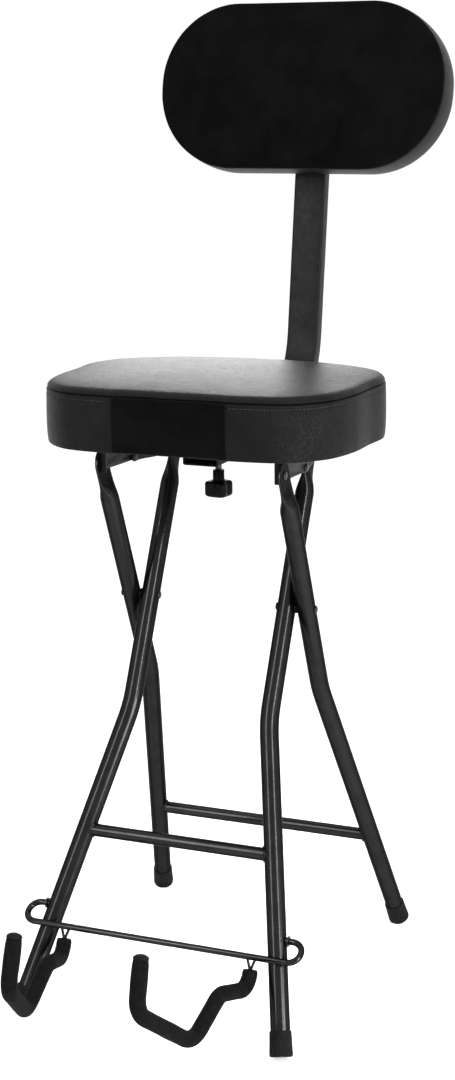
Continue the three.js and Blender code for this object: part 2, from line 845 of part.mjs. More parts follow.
// Velvet panel over the middle of the seat's front side
function seatFrontPanel() {
  const middle = (3 * seatLoop.length) / 4;
  const surface = (inset) => (
    insetLoop(seatLoop, inset).slice(middle - panelSpanSteps, middle + panelSpanSteps + 1)
  );
  const rings = panelHeightShares.map((share, i) => {
    const inset = panelDrawShares[i] * seatSeamDraw - touchGap;
    const loop = [...surface(inset), ...surface(inset - panelThickness).reverse()];
    return raised(loop, share * seatSeamHeight);
  });
  return skin(rings, false);
}

// Rails

function railCheekShape() {
  const lobe = [];
  for (let step = 0; step <= railLobeSteps; step += 1) {
    const angle = THREE.MathUtils.lerp(railLobeStart, railLobeEnd, step / railLobeSteps);
    const y = linkRivetPlace.y + railLobeRadius * Math.cos(angle);
    const z = linkRivetPlace.z + railLobeRadius * Math.sin(angle);
    lobe.push(new THREE.Vector2(y, z));
  }
  return new THREE.Shape([
    new THREE.Vector2(-railFront, -touchGap), new THREE.Vector2(-railFront, -railCheekDrop), ...lobe,
    new THREE.Vector2(railRear, -railRearDrop), new THREE.Vector2(railRear, -touchGap),
  ]);
}

function seatRail() {
  const cheek = plateAlongX(railCheekShape(), railInner, railOuter);
  const flangeInner = railOuter - railFlangeWidth;
  const flange = block(flangeInner, railOuter, -railFront, railRear, -touchGap - railThickness, -touchGap);
  const lipInner = railInner - railLipWidth;
  const lipRear = -railFront + railLipThickness;
  const lip = block(lipInner, railOuter, -railFront, lipRear, -railFrontDrop, -touchGap);
  const bore = rivetRadius + pinClearance;
  const from = railInner - overrun;
  const to = railOuter + overrun;
  const holes = [seatRivetPlace, linkRivetPlace].map(({ y, z }) => (
    barrelAlongX(bore, rivetSides, from, to, y, z)
  ));
  const screwHoles = railScrewHoles().filter(({ place }) => place.x > 0).map(({ place, radius }) => (
    barrelAlongZ(radius, screwSides, -touchGap - railThickness - overrun, overrun, place.x, place.y)
  ));
  return cut(join([cheek, flange, lip]), [...holes, ...screwHoles]);
}

function railScrews() {
  const level = -2 * touchGap - railThickness;
  return railScrewHoles().map(({ place }) => screw(place.x, place.y, level, railScrewLength));
}

function linkRivet() {
  const inner = linkOuterPlane - linkThickness;
  const { y, z } = linkRivetPlace;
  return rivet(rivetRadius, inner, rivetHeadRadius, railOuter, rivetHeadRadius, y, z);
}

// Sleeve and clamp

function backrestSleeve() {
  const outer = roundedLoop(sleeveWidth, sleeveDepth, sleeveCorner, barCornerSteps);
  const innerWidth = sleeveWidth - 2 * sleeveWall;
  const innerDepth = sleeveDepth - 2 * sleeveWall;
  const inner = roundedLoop(innerWidth, innerDepth, sleeveCorner - sleeveWall, barCornerSteps);
  const shape = new THREE.Shape(outer);
  shape.holes.push(new THREE.Path(inner));
  const tube = plateAlongY(shape, sleeveFront, sleeveRear).translate(0, 0, sleeveLevel);
  const root = sleeveWidth / 2 - sleeveCorner;
  const reach = sleeveWidth / 2 + earWidth;
  const earFront = earPlace - earLength / 2;
  const ears = [root, -reach].map((x) => (
    block(x, x + reach - root, earFront, earFront + earLength, -touchGap - sleeveWall, -touchGap)
  ));
  const studHole = barrelAlongZ(
    studRadius + studClearance, rungSides, -sleeveDepth - overrun, barLevel, 0, clampPlace,
  );
  const screwHoles = sleeveScrewHoles().map(({ place, radius }) => (
    barrelAlongZ(radius, screwSides, -sleeveWall - overrun, overrun, place.x, place.y)
  ));
  return cut(join([tube, ...ears]), [studHole, ...screwHoles]);
}

function sleeveScrews() {
  const level = -2 * touchGap - sleeveWall;
  return sleeveScrewHoles().map(({ place }) => screw(place.x, place.y, level, sleeveScrewLength));
}

const clampNutTop = -touchGap - sleeveDepth;
const clampNutBottom = clampNutTop - clampNutHeight;
const knobTop = clampNutBottom - studShow;
const knobBoreEnd = knobTop - knobBoreDepth;

function clampNut() {
  const hexRadius = clampNutFlats / Math.sqrt(3);
  const shape = new THREE.Shape(circleLoop(hexRadius, 6));
  shape.holes.push(new THREE.Path(circleLoop(studRadius + pinClearance, rungSides)));
  return plateAlongZ(shape, clampNutBottom, clampNutTop).translate(0, clampPlace, 0);
}

function clampStud() {
  const top = barLevel - barDepth / 2 - touchGap;
  const bottom = knobBoreEnd + touchGap;
  return barrelAlongZ(studRadius, rungSides, bottom, top, 0, clampPlace);
}

function clampKnob() {
  const pointsPerLobe = 8;
  const count = knobLobes * pointsPerLobe;
  const round = (radius, height) => raised(circleLoop(radius, count), height);
  const lobed = (radius, height) => raised(circleLoop(1, count).map((unit, i) => {
    const dip = (knobLobeDepth * (1 - Math.cos((2 * Math.PI * i) / pointsPerLobe))) / 2;
    return unit.multiplyScalar(radius - dip);
  }), height);
  const headTop = knobTop - knobNeckLength;
  const headBottom = headTop - knobHeight;
  const body = skin([
    round(studRadius + pinClearance, knobBoreEnd),
    round(studRadius + pinClearance, knobTop),
    round(knobNeckRadius, knobTop),
    round(knobNeckRadius, headTop),
    lobed(knobRadius - knobChamfer, headTop),
    lobed(knobRadius, headTop - knobChamfer),
    lobed(knobRadius, headBottom + knobChamfer),
    lobed(knobRadius - knobChamfer, headBottom),
  ], false);
  return body.rotateZ(knobRestTurn).translate(0, clampPlace, 0);
}

// Backrest bar

function barBoltPlaces() {
  return [-boltSpacing / 2, boltSpacing / 2].map((rise) => barPoint(barAtPad + rise));
}

function backrestBar() {
  const front = new THREE.Vector3(0, barFront, barLevel);
  const top = barPoint(barAtPad + barTopRise);
  const stations = roundedPath([front, barCornerPoint, top], [barBendRadius], barTurnStep);
  const outer = roundedLoop(barWidth, barDepth, barCorner, barCornerSteps);
  const innerWidth = barWidth - 2 * barWall;
  const innerDepth = barDepth - 2 * barWall;
  const inner = roundedLoop(innerWidth, innerDepth, barCorner - barWall, barCornerSteps);
  const half = barWidth / 2 + overrun;
  const holes = barBoltPlaces().map(({ y, z }) => (
    barrelAlongX(boltRadius + pinClearance, rivetSides, -half, half, y, z)
  ));
  return cut(pipe(stations, outer, inner), holes);
}

// Plug at an end of the bar, with its plate outside and its stem in the bore
function barPlug(end, away) {
  const stem = 2 * (barWall + pinClearance);
  const outer = roundedLoop(barWidth, barDepth, barCorner, barCornerSteps);
  const inner = roundedLoop(barWidth - stem, barDepth - stem, barCorner - barWall, barCornerSteps);
  const ringAt = (reach, section) => (
    ringsAlong([{ point: end.clone().addScaledVector(away, reach), tangent: away }], section)[0]
  );
  return skin([
    ringAt(touchGap + plugPlate, outer), ringAt(touchGap, outer),
    ringAt(touchGap, inner), ringAt(-plugDepth, inner),
  ], false);
}

function lowerPlug() {
  return barPlug(new THREE.Vector3(0, barFront, barLevel), axisY.clone().negate());
}

function upperPlug() {
  return barPlug(barPoint(barAtPad + barTopRise), barUp);
}

// Backrest pad

const padBoardTop = -padThickness + padBoardThickness;
const padBackTop = -padThickness - 2 * touchGap;
const plateTop = padBackTop - padBackThickness - touchGap;

function padOutline() {
  const corners = roundedLoop(2 * padHalfWidth, 2 * padHalfHeight, padCorner, padCornerSteps);
  const shape = new THREE.Shape(corners);
  shape.closePath();
  return shape.getSpacedPoints(padOutlineSteps).slice(0, padOutlineSteps);
}

const padLoop = padOutline();

function padShoulderProfile(depth) {
  return padShoulderShares.map(([insetShare, riseShare]) => {
    const inset = insetShare * padShoulder + padSeamDraw * (1 - riseShare);
    return [inset + depth, padSeamDepth * (riseShare - 1) - depth * riseShare];
  });
}

function padFrontCover() {
  const outer = [[padSeamDraw, -padSeamDepth], ...padShoulderProfile(0)];
  const inner = [[padSeamDraw + coverThickness, -padSeamDepth], ...padShoulderProfile(coverThickness)];
  return skin([
    ...crownRings(padLoop, inner, padCrown).reverse(), ...crownRings(padLoop, outer, padCrown),
  ], false);
}

// Side cover between the front seam and the board, drawn in at both edges
function padSideCover() {
  const top = -padSeamDepth - touchGap;
  const bottom = padBoardTop - padBoardThickness + touchGap;
  const rings = (depth) => padSideShares.map((share, i) => {
    const loop = insetLoop(padLoop, padSideDrawShares[i] * padRearDraw + depth);
    return raised(loop, THREE.MathUtils.lerp(top, bottom, share));
  });
  return skin([...rings(0), ...rings(coverThickness).reverse()], true);
}

function padFoamBlock() {
  const depth = coverThickness + touchGap;
  const bottom = padBoardTop + touchGap;
  const side = [[padRearDraw + depth, bottom], [padRearDraw + depth, -2 * padSeamDepth]];
  return skin(crownRings(padLoop, [...side, ...padShoulderProfile(depth)], padCrown), false);
}

function padPlateHoles() {
  const radius = screwRadius + pinClearance;
  return [bracketHoleX, -bracketHoleX].map((x) => ({ place: new THREE.Vector2(x, 0), radius }));
}

function padBoard() {
  const loop = insetLoop(padLoop, padRearDraw + coverThickness + touchGap);
  return plateAlongZ(shapeWithHoles(loop, padPlateHoles()), padBoardTop - padBoardThickness, padBoardTop);
}

function padBackCover() {
  const loop = insetLoop(padLoop, padRearDraw);
  return plateAlongZ(shapeWithHoles(loop, padPlateHoles()), padBackTop - padBackThickness, padBackTop);
}

function padBracket() {
  const corners = roundedLoop(2 * bracketHalfWidth, 2 * bracketHalfHeight, bracketCorner, barCornerSteps);
  const plate = plateAlongZ(shapeWithHoles(corners, padPlateHoles()), plateTop - bracketThickness, plateTop);
  const places = barBoltPlaces().map(toPad);
  const depth = Math.min(...places.map(({ z }) => z)) - bracketMargin;
  const flangeShape = new THREE.Shape([
    new THREE.Vector2(-bracketHalfHeight, plateTop), new THREE.Vector2(-bracketHalfHeight, depth),
    new THREE.Vector2(bracketHalfHeight, depth), new THREE.Vector2(bracketHalfHeight, plateTop),
  ]);
  const from = barWidth / 2 + touchGap;
  const flange = plateAlongX(flangeShape, from, from + bracketThickness);
  const half = from + bracketThickness + overrun;
  const holes = places.map(({ y, z }) => (
    barrelAlongX(boltRadius + pinClearance, rivetSides, -half, half, y, z)
  ));
  return cut(join([plate, flange, mirrored(flange)]), holes);
}

function bracketBolts() {
  const face = barWidth / 2 + 2 * touchGap + bracketThickness;
  return barBoltPlaces().map(toPad).map(({ y, z }) => turnedAlongX([
    [-face - boltHeadHeight, 0], [-face - boltHeadHeight, boltHeadRadius], [-face, boltHeadRadius],
    [-face, boltRadius], [face, boltRadius], [face, boltHeadRadius],
    [face + boltHeadHeight, boltHeadRadius], [face + boltHeadHeight, 0],
  ], rivetSides, y, z));
}

function backrestScrews() {
  const level = plateTop - bracketThickness - touchGap;
  return padPlateHoles().map(({ place }) => screw(place.x, place.y, level, backrestScrewLength));
}

// Guitar cradle

const cradlePivot = legPoint(frontLeg, cradlePivotHeight);
const cradleRestAngle = legLean + Math.asin((tubeRadius + wireRadius + touchGap) / cradleLoopSize);
const cradleRodY = cradlePivot.y - cradleLoopSize * Math.sin(cradleRestAngle);
const cradleRodZ = cradlePivot.z - cradleLoopSize * Math.cos(cradleRestAngle);

function cradleRod() {
  const upper = (x) => new THREE.Vector3(x, cradlePivot.y, cradlePivot.z);
  const lower = (x) => new THREE.Vector3(x, cradleRodY, cradleRodZ);
  const corners = [
    upper(-cradlePivot.x), upper(-cradleHalfWidth), lower(-cradleHalfWidth),
    lower(cradleHalfWidth), upper(cradleHalfWidth), upper(cradlePivot.x),
  ];
  const radius = cradleLoopShare * cradleLoopSize;
  const stations = roundedPath(corners, [radius, radius, radius, radius], wireTurnStep);
  return skin(ringsFrom(stations, circleLoop(wireRadius, wireSides), axisY), false);
}

// Bends of an arm, from the one below the rod to the tip
function armBends() {
  return armBendShares.map(([x, y, z]) => new THREE.Vector3(
    x * armOffset, cradlePivot.y + y * armReach, cradlePivot.z + z * armDrop,
  ));
}

// Straight lead of the arm from its weld under the rod to its first bend
function armLead() {
  const root = new THREE.Vector3(armOffset, cradleRodY, cradleRodZ);
  return { root, lead: armBends()[0].sub(root).normalize() };
}

// Line of the arm from a given distance below the rod
function armStations(distance) {
  const { root, lead } = armLead();
  const start = root.addScaledVector(lead, distance);
  return roundedPath([start, ...armBends()], armBendRadii, wireTurnStep);
}

function tipFrame() {
  const [before, tip] = armBends().slice(-2);
  return { tip, away: tip.clone().sub(before).normalize() };
}

function armWire() {
  const { root, lead } = armLead();
  const { away } = tipFrame();
  const weldRadius = wireRadius + weldRise;
  const stations = armStations(armWeldRun);
  stations.at(-1).point.addScaledVector(away, -tipStem - touchGap);
  const wire = skin([
    ...ringsAlong([{ point: root, tangent: lead }], circleLoop(weldRadius, wireSides)),
    ...ringsAlong(stations, circleLoop(wireRadius, wireSides)),
  ], false);
  const from = root.x - weldRadius - overrun;
  const to = root.x + weldRadius + overrun;
  return cut(wire, [barrelAlongX(wireRadius + touchGap, rungSides, from, to, root.y, root.z)]);
}

function armFoam() {
  const outer = circleLoop(foamRadius, wireSides);
  return pipe(armStations(foamStart), outer, circleLoop(foamBore, wireSides));
}

function armTipCap() {
  const { tip, away } = tipFrame();
  const ringAt = (reach, radius) => {
    const station = { point: tip.clone().addScaledVector(away, reach), tangent: away };
    return ringsAlong([station], circleLoop(radius, wireSides))[0];
  };
  const dome = domeShares.map(([radiusShare, riseShare]) => (
    ringAt(touchGap + riseShare * tipCapHeight, radiusShare * foamRadius)
  ));
  const stem = wireRadius - pinClearance;
  return skin([
    ringAt(-tipStem, stem), ringAt(touchGap, stem), ringAt(touchGap, foamRadius), ...dome.reverse(),
  ], false);
}

function pushNut() {
  const from = cradlePivot.x + tubeRadius + pushNutStandoff + touchGap;
  const bore = wireRadius + pinClearance;
  return washer(
    pushNutRadius, bore, from, from + pushNutThickness, rungSides, cradlePivot.y, cradlePivot.z,
  );
}

// Assembly

function addPiece(group, name, geometry, material) {
  geometry.computeVertexNormals();
  const mesh = new THREE.Mesh(geometry, material);
  mesh.name = name;
  group.add(mesh);
}

function addPair(group, name, geometry, material) {
  addPiece(group, `${name}_right`, geometry, material);
  addPiece(group, `${name}_left`, mirrored(geometry), material);
}

function addSeries(group, name, geometries, material) {
  geometries.forEach((geometry, i) => addPiece(group, `${name}_${i + 1}`, geometry, material));
}

function rearFrame() {
  const group = new THREE.Group();
  addPair(group, 'rear_leg', rearLegTube(), paint);
  addPiece(group, 'rear_rung', rung(rearLeg, rearRungHeight), paint);
  addPair(group, 'rear_foot', foot(rearLeg), rubber);
  addPair(group, 'pivot_rivet', pivotRivet(), blackSteel);
  addPair(group, 'pivot_spacer', pivotSpacer(), plastic);
  addPair(group, 'seat_pivot_rivet', seatPivotRivet(), blackSteel);
  return group;
}

function frontFrame() {
  const group = new THREE.Group();
  addPair(group, 'front_leg', frontLegTube(), paint);
  addPiece(group, 'front_rung', rung(frontLeg, frontRungHeight), paint);
  addPair(group, 'front_foot', foot(frontLeg), rubber);
  addPair(group, 'leg_top_rivet', legTopRivet(), blackSteel);
  return group;
}

function foldLinks() {
  const group = new THREE.Group();
  addPair(group, 'fold_link', foldLink(), paint);
  group.position.z = linkPivotHeight;
  group.rotation.x = Math.atan2(linkPivotDrop, topSpread);
  return group;
}

function backrestPad() {
  const group = new THREE.Group();
  addPiece(group, 'backrest_front_cover', padFrontCover(), velvet);
  addPiece(group, 'backrest_side_cover', padSideCover(), leather);
  addPiece(group, 'backrest_foam', padFoamBlock(), padFoam);
  addPiece(group, 'backrest_board', padBoard(), plywood);
  addPiece(group, 'backrest_back_cover', padBackCover(), leather);
  addPiece(group, 'backrest_bracket', padBracket(), paint);
  addSeries(group, 'bracket_bolt', bracketBolts(), blackSteel);
  addSeries(group, 'backrest_screw', backrestScrews(), zinc);
  group.position.set(0, padPlaceY, padPlaceZ);
  group.rotation.x = Math.PI / 2 - padTilt;
  return group;
}

function seatUnit() {
  const group = new THREE.Group();
  addPiece(group, 'seat_board', seatBoard(), plywood);
  addPiece(group, 'seat_foam', seatFoam(), padFoam);
  addPiece(group, 'seat_cover', seatCover(), leather);
  addPiece(group, 'seat_front_panel', seatFrontPanel(), velvet);
  addPair(group, 'seat_rail', seatRail(), paint);
  addSeries(group, 'rail_screw', railScrews(), zinc);
  addPair(group, 'link_rivet', linkRivet(), blackSteel);
  addPiece(group, 'backrest_sleeve', backrestSleeve(), paint);
  addSeries(group, 'sleeve_screw', sleeveScrews(), zinc);
  addPiece(group, 'clamp_nut', clampNut(), blackSteel);
  addPiece(group, 'clamp_stud', clampStud(), blackSteel);
  addPiece(group, 'clamp_knob', clampKnob(), plastic);
  addPiece(group, 'backrest_bar', backrestBar(), paint);
  addPiece(group, 'bar_lower_plug', lowerPlug(), plastic);
  addPiece(group, 'bar_upper_plug', upperPlug(), plastic);
  group.add(backrestPad());
  group.position.z = seatHeight;
  group.rotation.x = seatPitch;
  return group;
}

function guitarCradle() {
  const group = new THREE.Group();
  addPiece(group, 'cradle_rod', cradleRod(), paint);
  addPair(group, 'cradle_arm', armWire(), paint);
  addPair(group, 'arm_foam', armFoam(), gripFoam);
  addPair(group, 'arm_tip_cap', armTipCap(), rubber);
  addPair(group, 'cradle_push_nut', pushNut(), blackSteel);
  return group;
}

const stool = new THREE.Group();
stool.add(rearFrame(), frontFrame(), foldLinks(), seatUnit(), guitarCradle());

// The part's origin is on the floor under the middle of its box
const box = new THREE.Box3().setFromObject(stool, true);
stool.position.y = -(box.min.y + box.max.y) / 2;

const part = new THREE.Group();
part.add(stool);

export default part;
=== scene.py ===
"""The looks of a folding guitar stool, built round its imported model.

Sizes are in millimetres and are those of the solids. As in their drawing, the scissor pivot is at Y = 0.
Place matrices bring the points to the part's frame in metres. Lamps are placed in metres in that frame.
"""

import json
import math
from collections import namedtuple

import bmesh
import bpy
import numpy as np
from mathutils import Matrix, Quaternion, Vector, kdtree, noise


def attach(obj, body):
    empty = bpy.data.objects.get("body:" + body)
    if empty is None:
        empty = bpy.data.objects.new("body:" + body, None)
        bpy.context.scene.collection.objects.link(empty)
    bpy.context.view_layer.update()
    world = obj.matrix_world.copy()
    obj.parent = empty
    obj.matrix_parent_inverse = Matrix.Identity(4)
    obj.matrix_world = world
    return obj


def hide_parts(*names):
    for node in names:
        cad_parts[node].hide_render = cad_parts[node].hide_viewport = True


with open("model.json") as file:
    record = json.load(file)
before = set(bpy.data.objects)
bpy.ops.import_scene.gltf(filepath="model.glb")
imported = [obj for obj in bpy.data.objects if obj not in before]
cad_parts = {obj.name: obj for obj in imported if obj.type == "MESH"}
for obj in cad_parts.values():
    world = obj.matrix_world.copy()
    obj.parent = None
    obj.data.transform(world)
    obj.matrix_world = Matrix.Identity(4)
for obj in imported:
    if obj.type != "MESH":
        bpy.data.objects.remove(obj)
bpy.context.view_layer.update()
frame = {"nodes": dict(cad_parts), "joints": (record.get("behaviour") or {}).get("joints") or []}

MM = 0.001
GAP = 0.3
RIGHT, LEFT = "_right", "_left"
AXIS_X = Vector((1, 0, 0))
AXIS_Y = Vector((0, 1, 0))
AXIS_Z = Vector((0, 0, 1))

# Camera, whose focal length is a share of the picture's longer side
CAMERA_PLACE = (915.3, -2231.1, 1074.5)
CAMERA_AZIMUTH = math.radians(22.014)
CAMERA_DROP = math.radians(11.905)
CAMERA_SIGHT = 100
FOCAL_SHARE = 1975 / 1080
SENSOR = 36

# Stage, where glow and backdrop are what the camera and reflections see
FLOOR_HALF = 12000
FLOOR_FINISH = {"Base_Color": (0.93, 0.93, 0.93, 1), "Roughness": 0.22, "Specular_IOR_Level": 0.35}
FLOOR_GLOW = 0.48
WORLD_LIGHT = 0.35
WORLD_BACKDROP = 1
WHITE = (1, 1, 1, 1)
Lamp = namedtuple("Lamp", "name place target width height watts")
LAMPS = [
    Lamp("left_strip", (-1.3, -2.7, 2.1), (0, 0, 0.6), 0.5, 2.4, 52),
    Lamp("right_strip", (2.57, -1.55, 2.1), (0, 0, 0.6), 0.25, 2.4, 75),
    Lamp("low_right", (1.66, -0.61, 0.44), (0.17, -0.12, 0.73), 0.7, 0.45, 23),
    Lamp("rear_sheen", (-1.17, 2.9, 1.35), (0, 0, 0.75), 0.85, 0.8, 14.5),
    Lamp("overhead", (-0.3, 0.3, 3.0), (0, 0, 0.6), 2.4, 2.4, 25),
]

# Legs: the way in Y that the foot lies, and distances from the middle plane and the floor
TUBE_RADIUS = 11.8
TUBE_SIDES = 36
LEG_LEAN = math.radians(25)
LEG_BEND_RADIUS = 200
LEG_BEND_STEP = math.radians(1.5)
SCISSOR_HEIGHT = 488.5
LEG_TOP_HEIGHT = 669.5
SPACER_THICKNESS = 2.1
SPACER_RADIUS = 6.5
Leg = namedtuple("Leg", "facing top_x bend_height foot_x")
FRONT_LEG = Leg(-1, 92.2, 359.2, 173.5)
REAR_LEG = Leg(1, FRONT_LEG.top_x + 2 * TUBE_RADIUS + SPACER_THICKNESS + 2 * GAP, 372.6, 178)
LEAN_SLOPE = math.tan(LEG_LEAN)
TOP_SPREAD = (LEG_TOP_HEIGHT - SCISSOR_HEIGHT) * LEAN_SLOPE

# Flattened tops of the legs
FLAT_THICKNESS = 3.2
FLAT_HALF_WIDTH = 17
FLAT_LENGTH = 14
FLAT_MORPH = 40
FLAT_SHARPNESS = 2
FLAT_TIP_STEPS = 8
FLAT_MORPH_STEPS = 16

# Rungs and their beads of weld
RUNG_RADIUS = 8
RUNG_SIDES = 28
RUNG_HEIGHTS = {"front": 213.1, "rear": 143.7}
BEAD_RADIUS = 1.9
BEAD_STEPS = 48
BEAD_SIDES = 10
BEAD_UNEVENNESS = 0.3
BEAD_LUMPS_PER_MM = 0.35

# Feet
FOOT_RADIUS = 14
FOOT_TOP_RADIUS = 13.2
FOOT_BORE = TUBE_RADIUS + 0.15
FOOT_HEIGHT = 30
FOOT_SOLE = 5.5
FOOT_FLAT = 1.5
FLUTES = 28
FLUTE_STEPS = 6
FLUTE_DEPTH = 0.7

# Rivets, rails and fold links
PIVOT_SHANK = 4
RIVET_SHANK = 3.5
RIVET_HEAD = 5.2
SMALL_HEAD = 4.3
HEAD_HEIGHT = 2
HEAD_STEPS = 6
HEAD_FULLNESS = 0.8
RIVET_SIDES = 28
WASHER_SIDES = 32
WASHER_EDGE = 0.25
RAIL_THICKNESS = 2.2
RAIL_OUTER = REAR_LEG.top_x - FLAT_THICKNESS / 2 - GAP
RAIL_INNER = RAIL_OUTER - RAIL_THICKNESS
LINK_PIVOT_HEIGHT = 665.5
LINK_THICKNESS = 2.5

# Swelling of the cushions, in which a point's hold is 1 where the cover can't move
SWELL_VOXEL = 5
SWELL_LIMIT = 5
SWELL_FRAMES = 20
SWELL_ROUNDS = 80
SWELL_NEIGHBOURS = 6
CLOTH = {
    "quality": 6, "mass": 0.3, "vertex_group_mass": "held", "shrink_min": -0.012,
    "use_pressure": True, "uniform_pressure_force": 4,
}
HOLD_FIXED = 1
HOLD_SEWN = 0.9
HOLD_FREE = 0.15
COVER_THICKNESS = 1.2
CROWN_SHARES = np.linspace(0.97, 0.03, 34)

# Seat cushion. The shares give the right half of its outline, from front to rear
SEAT_HEIGHT = 699.2
SEAT_PITCH = math.radians(1.5)
SEAT_HALF_WIDTH = 200
SEAT_FRONT = 152.5
SEAT_REAR = 158
SEAT_SHARES = [
    (0, -0.981), (0.2, -0.982), (0.44, -1), (0.712, -0.934), (0.9045, -0.685), (0.9775, -0.344), (0.988, 0),
    (0.9955, 0.337), (0.887, 0.648), (0.665, 0.842), (0.433, 0.949), (0.21, 0.993), (0, 1),
]
SEAT_CURVE_STEPS = 24
SEAT_STEPS = 320
SEAT_CROWN = 6.5
SEAT_WAVES = [(0.25, 90), (0.02, 20)]
SEAT_WAVES_FROM = 30

# Seat's side as (inset, height): up to the stitches' groove, over the sewn seam and onto the top
SEAT_SIDE = [
    (1.3, 0), (0.7, 4), (0.2, 12), (0, 24), (0.1, 38), (0.3, 50), (0.5, 57.6), (1.4, 60.2), (0.6, 62.4),
    (0.9, 64), (1.9, 65.2), (3.4, 65.9), (2.3, 66.6), (1.8, 67.6), (2.6, 69.4), (4.6, 71.6), (8, 73.4),
    (12.5, 74.2),
]
SEAT_FOOT = [(14, -1.5), (3.2, -1.5), (1.9, -1.2), (1.4, -0.7)]
SEAT_BODY_FOOT = (1.4, 0.5)
SEAT_STAPLED_HEIGHT = 10
SEAT_SEAM_HEIGHT = 66
SEAM_REACH = 5
SEAM_RIM = 0.3

# Inside of the seat's cover, which keeps clear of the board and the crown
LINING_HEIGHT = 73
LINING_FOOT = (2.6, -0.3)
LINING_LIP = (14, -0.3)
LINING_CROWN_DROP = 0.2
LINING_TOP_FROM = 70

# Velvet panel on the seat's front, with its face and back as distances off the leather
PANEL_SPAN = 0.119
PANEL_HEIGHTS = [0.5, 4, 10, 16, 24, 32, 40, 47, 53, 57, 61.5, 64.6]
PANEL_ROWS = 34
PANEL_FACE = 0.9
PANEL_BACK = -0.4
PANEL_PIPING = 0.5
PANEL_PIPING_STEP = 1.5

# Stitches, with a shape of (share of the length, share of the radius)
STITCH_HEIGHT = 60.2
STITCH_PITCH = 4.6
STITCH_LENGTH = 3.4
STITCH_RADIUS = 0.55
STITCH_SIDES = 6
STITCH_SHAPE = [(-0.5, 0.3), (-0.3, 0.9), (0, 1), (0.3, 0.9), (0.5, 0.3)]
STITCH_RISE = 0.25
STITCH_DIP = 2.2
STITCH_TILT = 0.15

# Backrest pad, with (inset, height) profiles from its front face at height 0 to its back
PAD_PLACE = (293.5, 417.7)
PAD_TILT = math.radians(11.5)
PAD_SIZE = (396, 220)
PAD_CORNER = 106
PAD_CORNER_STEPS = 40
PAD_STEPS = 300
PAD_CROWN = 6
PAD_WAVES = [(0.7, 60), (0.25, 16)]
PAD_FRONT = [
    (3.2, -5.2), (1.9, -4.4), (1.5, -3.2), (2.2, -1.9), (3.9, -0.8), (6.2, -0.2), (9, 0),
]
PAD_SIDE = [
    (3.4, -5.8), (2.0, -6.6), (1.3, -8.4), (0.6, -14), (0.1, -24), (0.2, -36), (0.7, -46), (1.6, -52),
    (2.6, -53.7),
]
PAD_REAR = [(4.6, -54.6), (3.0, -54.7), (2.2, -54.95), (1.9, -55.3), (2.3, -55.55), (3.2, -55.6)]
PAD_STAPLED_HEIGHT = -46
PAD_SEAM = (-9, -3)
PAD_SEAM_RIM = 0.8
PROFILE_STEPS = 4

# Backrest bar and clamp
BAR_SIZE = (43.4, 21)
BAR_CORNER = 3
BAR_CORNER_STEPS = 6
BAR_FRONT = -46
BAR_REACH = 301.6
BAR_LEAN = math.radians(8.5)
BAR_BEND_RADIUS = 120
BAR_BEND_STEP = math.radians(2)
BAR_TOP_RISE = 45
BAR_LEVEL = -GAP - 12.5
SLEEVE_DEPTH = 29
NUT_HEIGHT = 6.5
STUD_SHOW = 8.4
CLAMP_PLACE = 2

# Knob
KNOB_NECK_RADIUS = 7.2
KNOB_NECK_LENGTH = 13.9
KNOB_RADIUS = 17.5
KNOB_HEIGHT = 19.6
KNOB_LOBES = 4
KNOB_LOBE_DEPTH = 4.4
KNOB_LOBE_STEPS = 24
KNOB_TURN = math.radians(35)

# Guitar cradle's rod and push nuts
WIRE_RADIUS = 3.9
WIRE_SIDES = 20
WIRE_BEND_STEP = math.radians(6)
WIRE_IN_LEG = 1
CRADLE_PIVOT_HEIGHT = 125
CRADLE_HALF_WIDTH = 179.8
LOOP_SIZE = 29.4
LOOP_SHARE = 0.48
NUT_RADIUS = 6.5
NUT_THICKNESS = 2
NUT_STANDOFF = 1.4

# Cradle's arms. The shares give the bends in X from the middle, and in Y and Z from the pivot
ARM_OFFSET = 122.5
ARM_REACH = 255.9
ARM_DROP = 64.8
ARM_SHARES = [
    (1, -0.139, -0.802), (0.909, -0.38, -0.525), (0.861, -0.643, -1), (0.64, -1, 0.088),
    (0.632, -0.938, 0.954),
]
ARM_RADII = [19, 26, 33, 26]
STRAND_RADIUS = 1.7
STRAND_SIDES = 14
STRAND_SPREAD = 4.6
STRAND_SINK = 0.4
STRAND_OVERLAP = 1

# Foam sleeves and their caps, with a profile of (rise from the sleeve's end, radius) below the dome
FOAM_RADIUS = 9.5
FOAM_START = 15.5
FOAM_SIDES = 32
FOAM_BEND_STEP = math.radians(5)
FOAM_SPACING = 6
FOAM_BORE = WIRE_RADIUS + 0.3
FOAM_ROUNDING = 0.8
FOAM_ROUNDING_LENGTH = 1.5
FOAM_WAVES = (0.35, 14)
CAP_HEIGHT = 6
CAP_RADIUS = FOAM_RADIUS - 0.3
CAP_RIM = [(-10, 3.6), (0.3, 3.6), (0.3, FOAM_RADIUS - 0.9), (0.5, FOAM_RADIUS - 0.5), (1.1, CAP_RADIUS)]
CAP_DOME_LOSS = 0.8
CAP_DOME_STEPS = 9
CAP_DOME_QUARTER = 9.2

pivot_joint = next(joint for joint in frame["joints"] if joint["name"] == "leg_fold")
DRAWN = Matrix.Translation((0, pivot_joint["pos_m"][1], 0)) @ Matrix.Scale(MM, 4)
SEAT = DRAWN @ Matrix.Translation((0, 0, SEAT_HEIGHT)) @ Matrix.Rotation(SEAT_PITCH, 4, "X")
PAD = SEAT @ Matrix.Translation((0, *PAD_PLACE)) @ Matrix.Rotation(math.pi / 2 - PAD_TILT, 4, "X")


# Materials

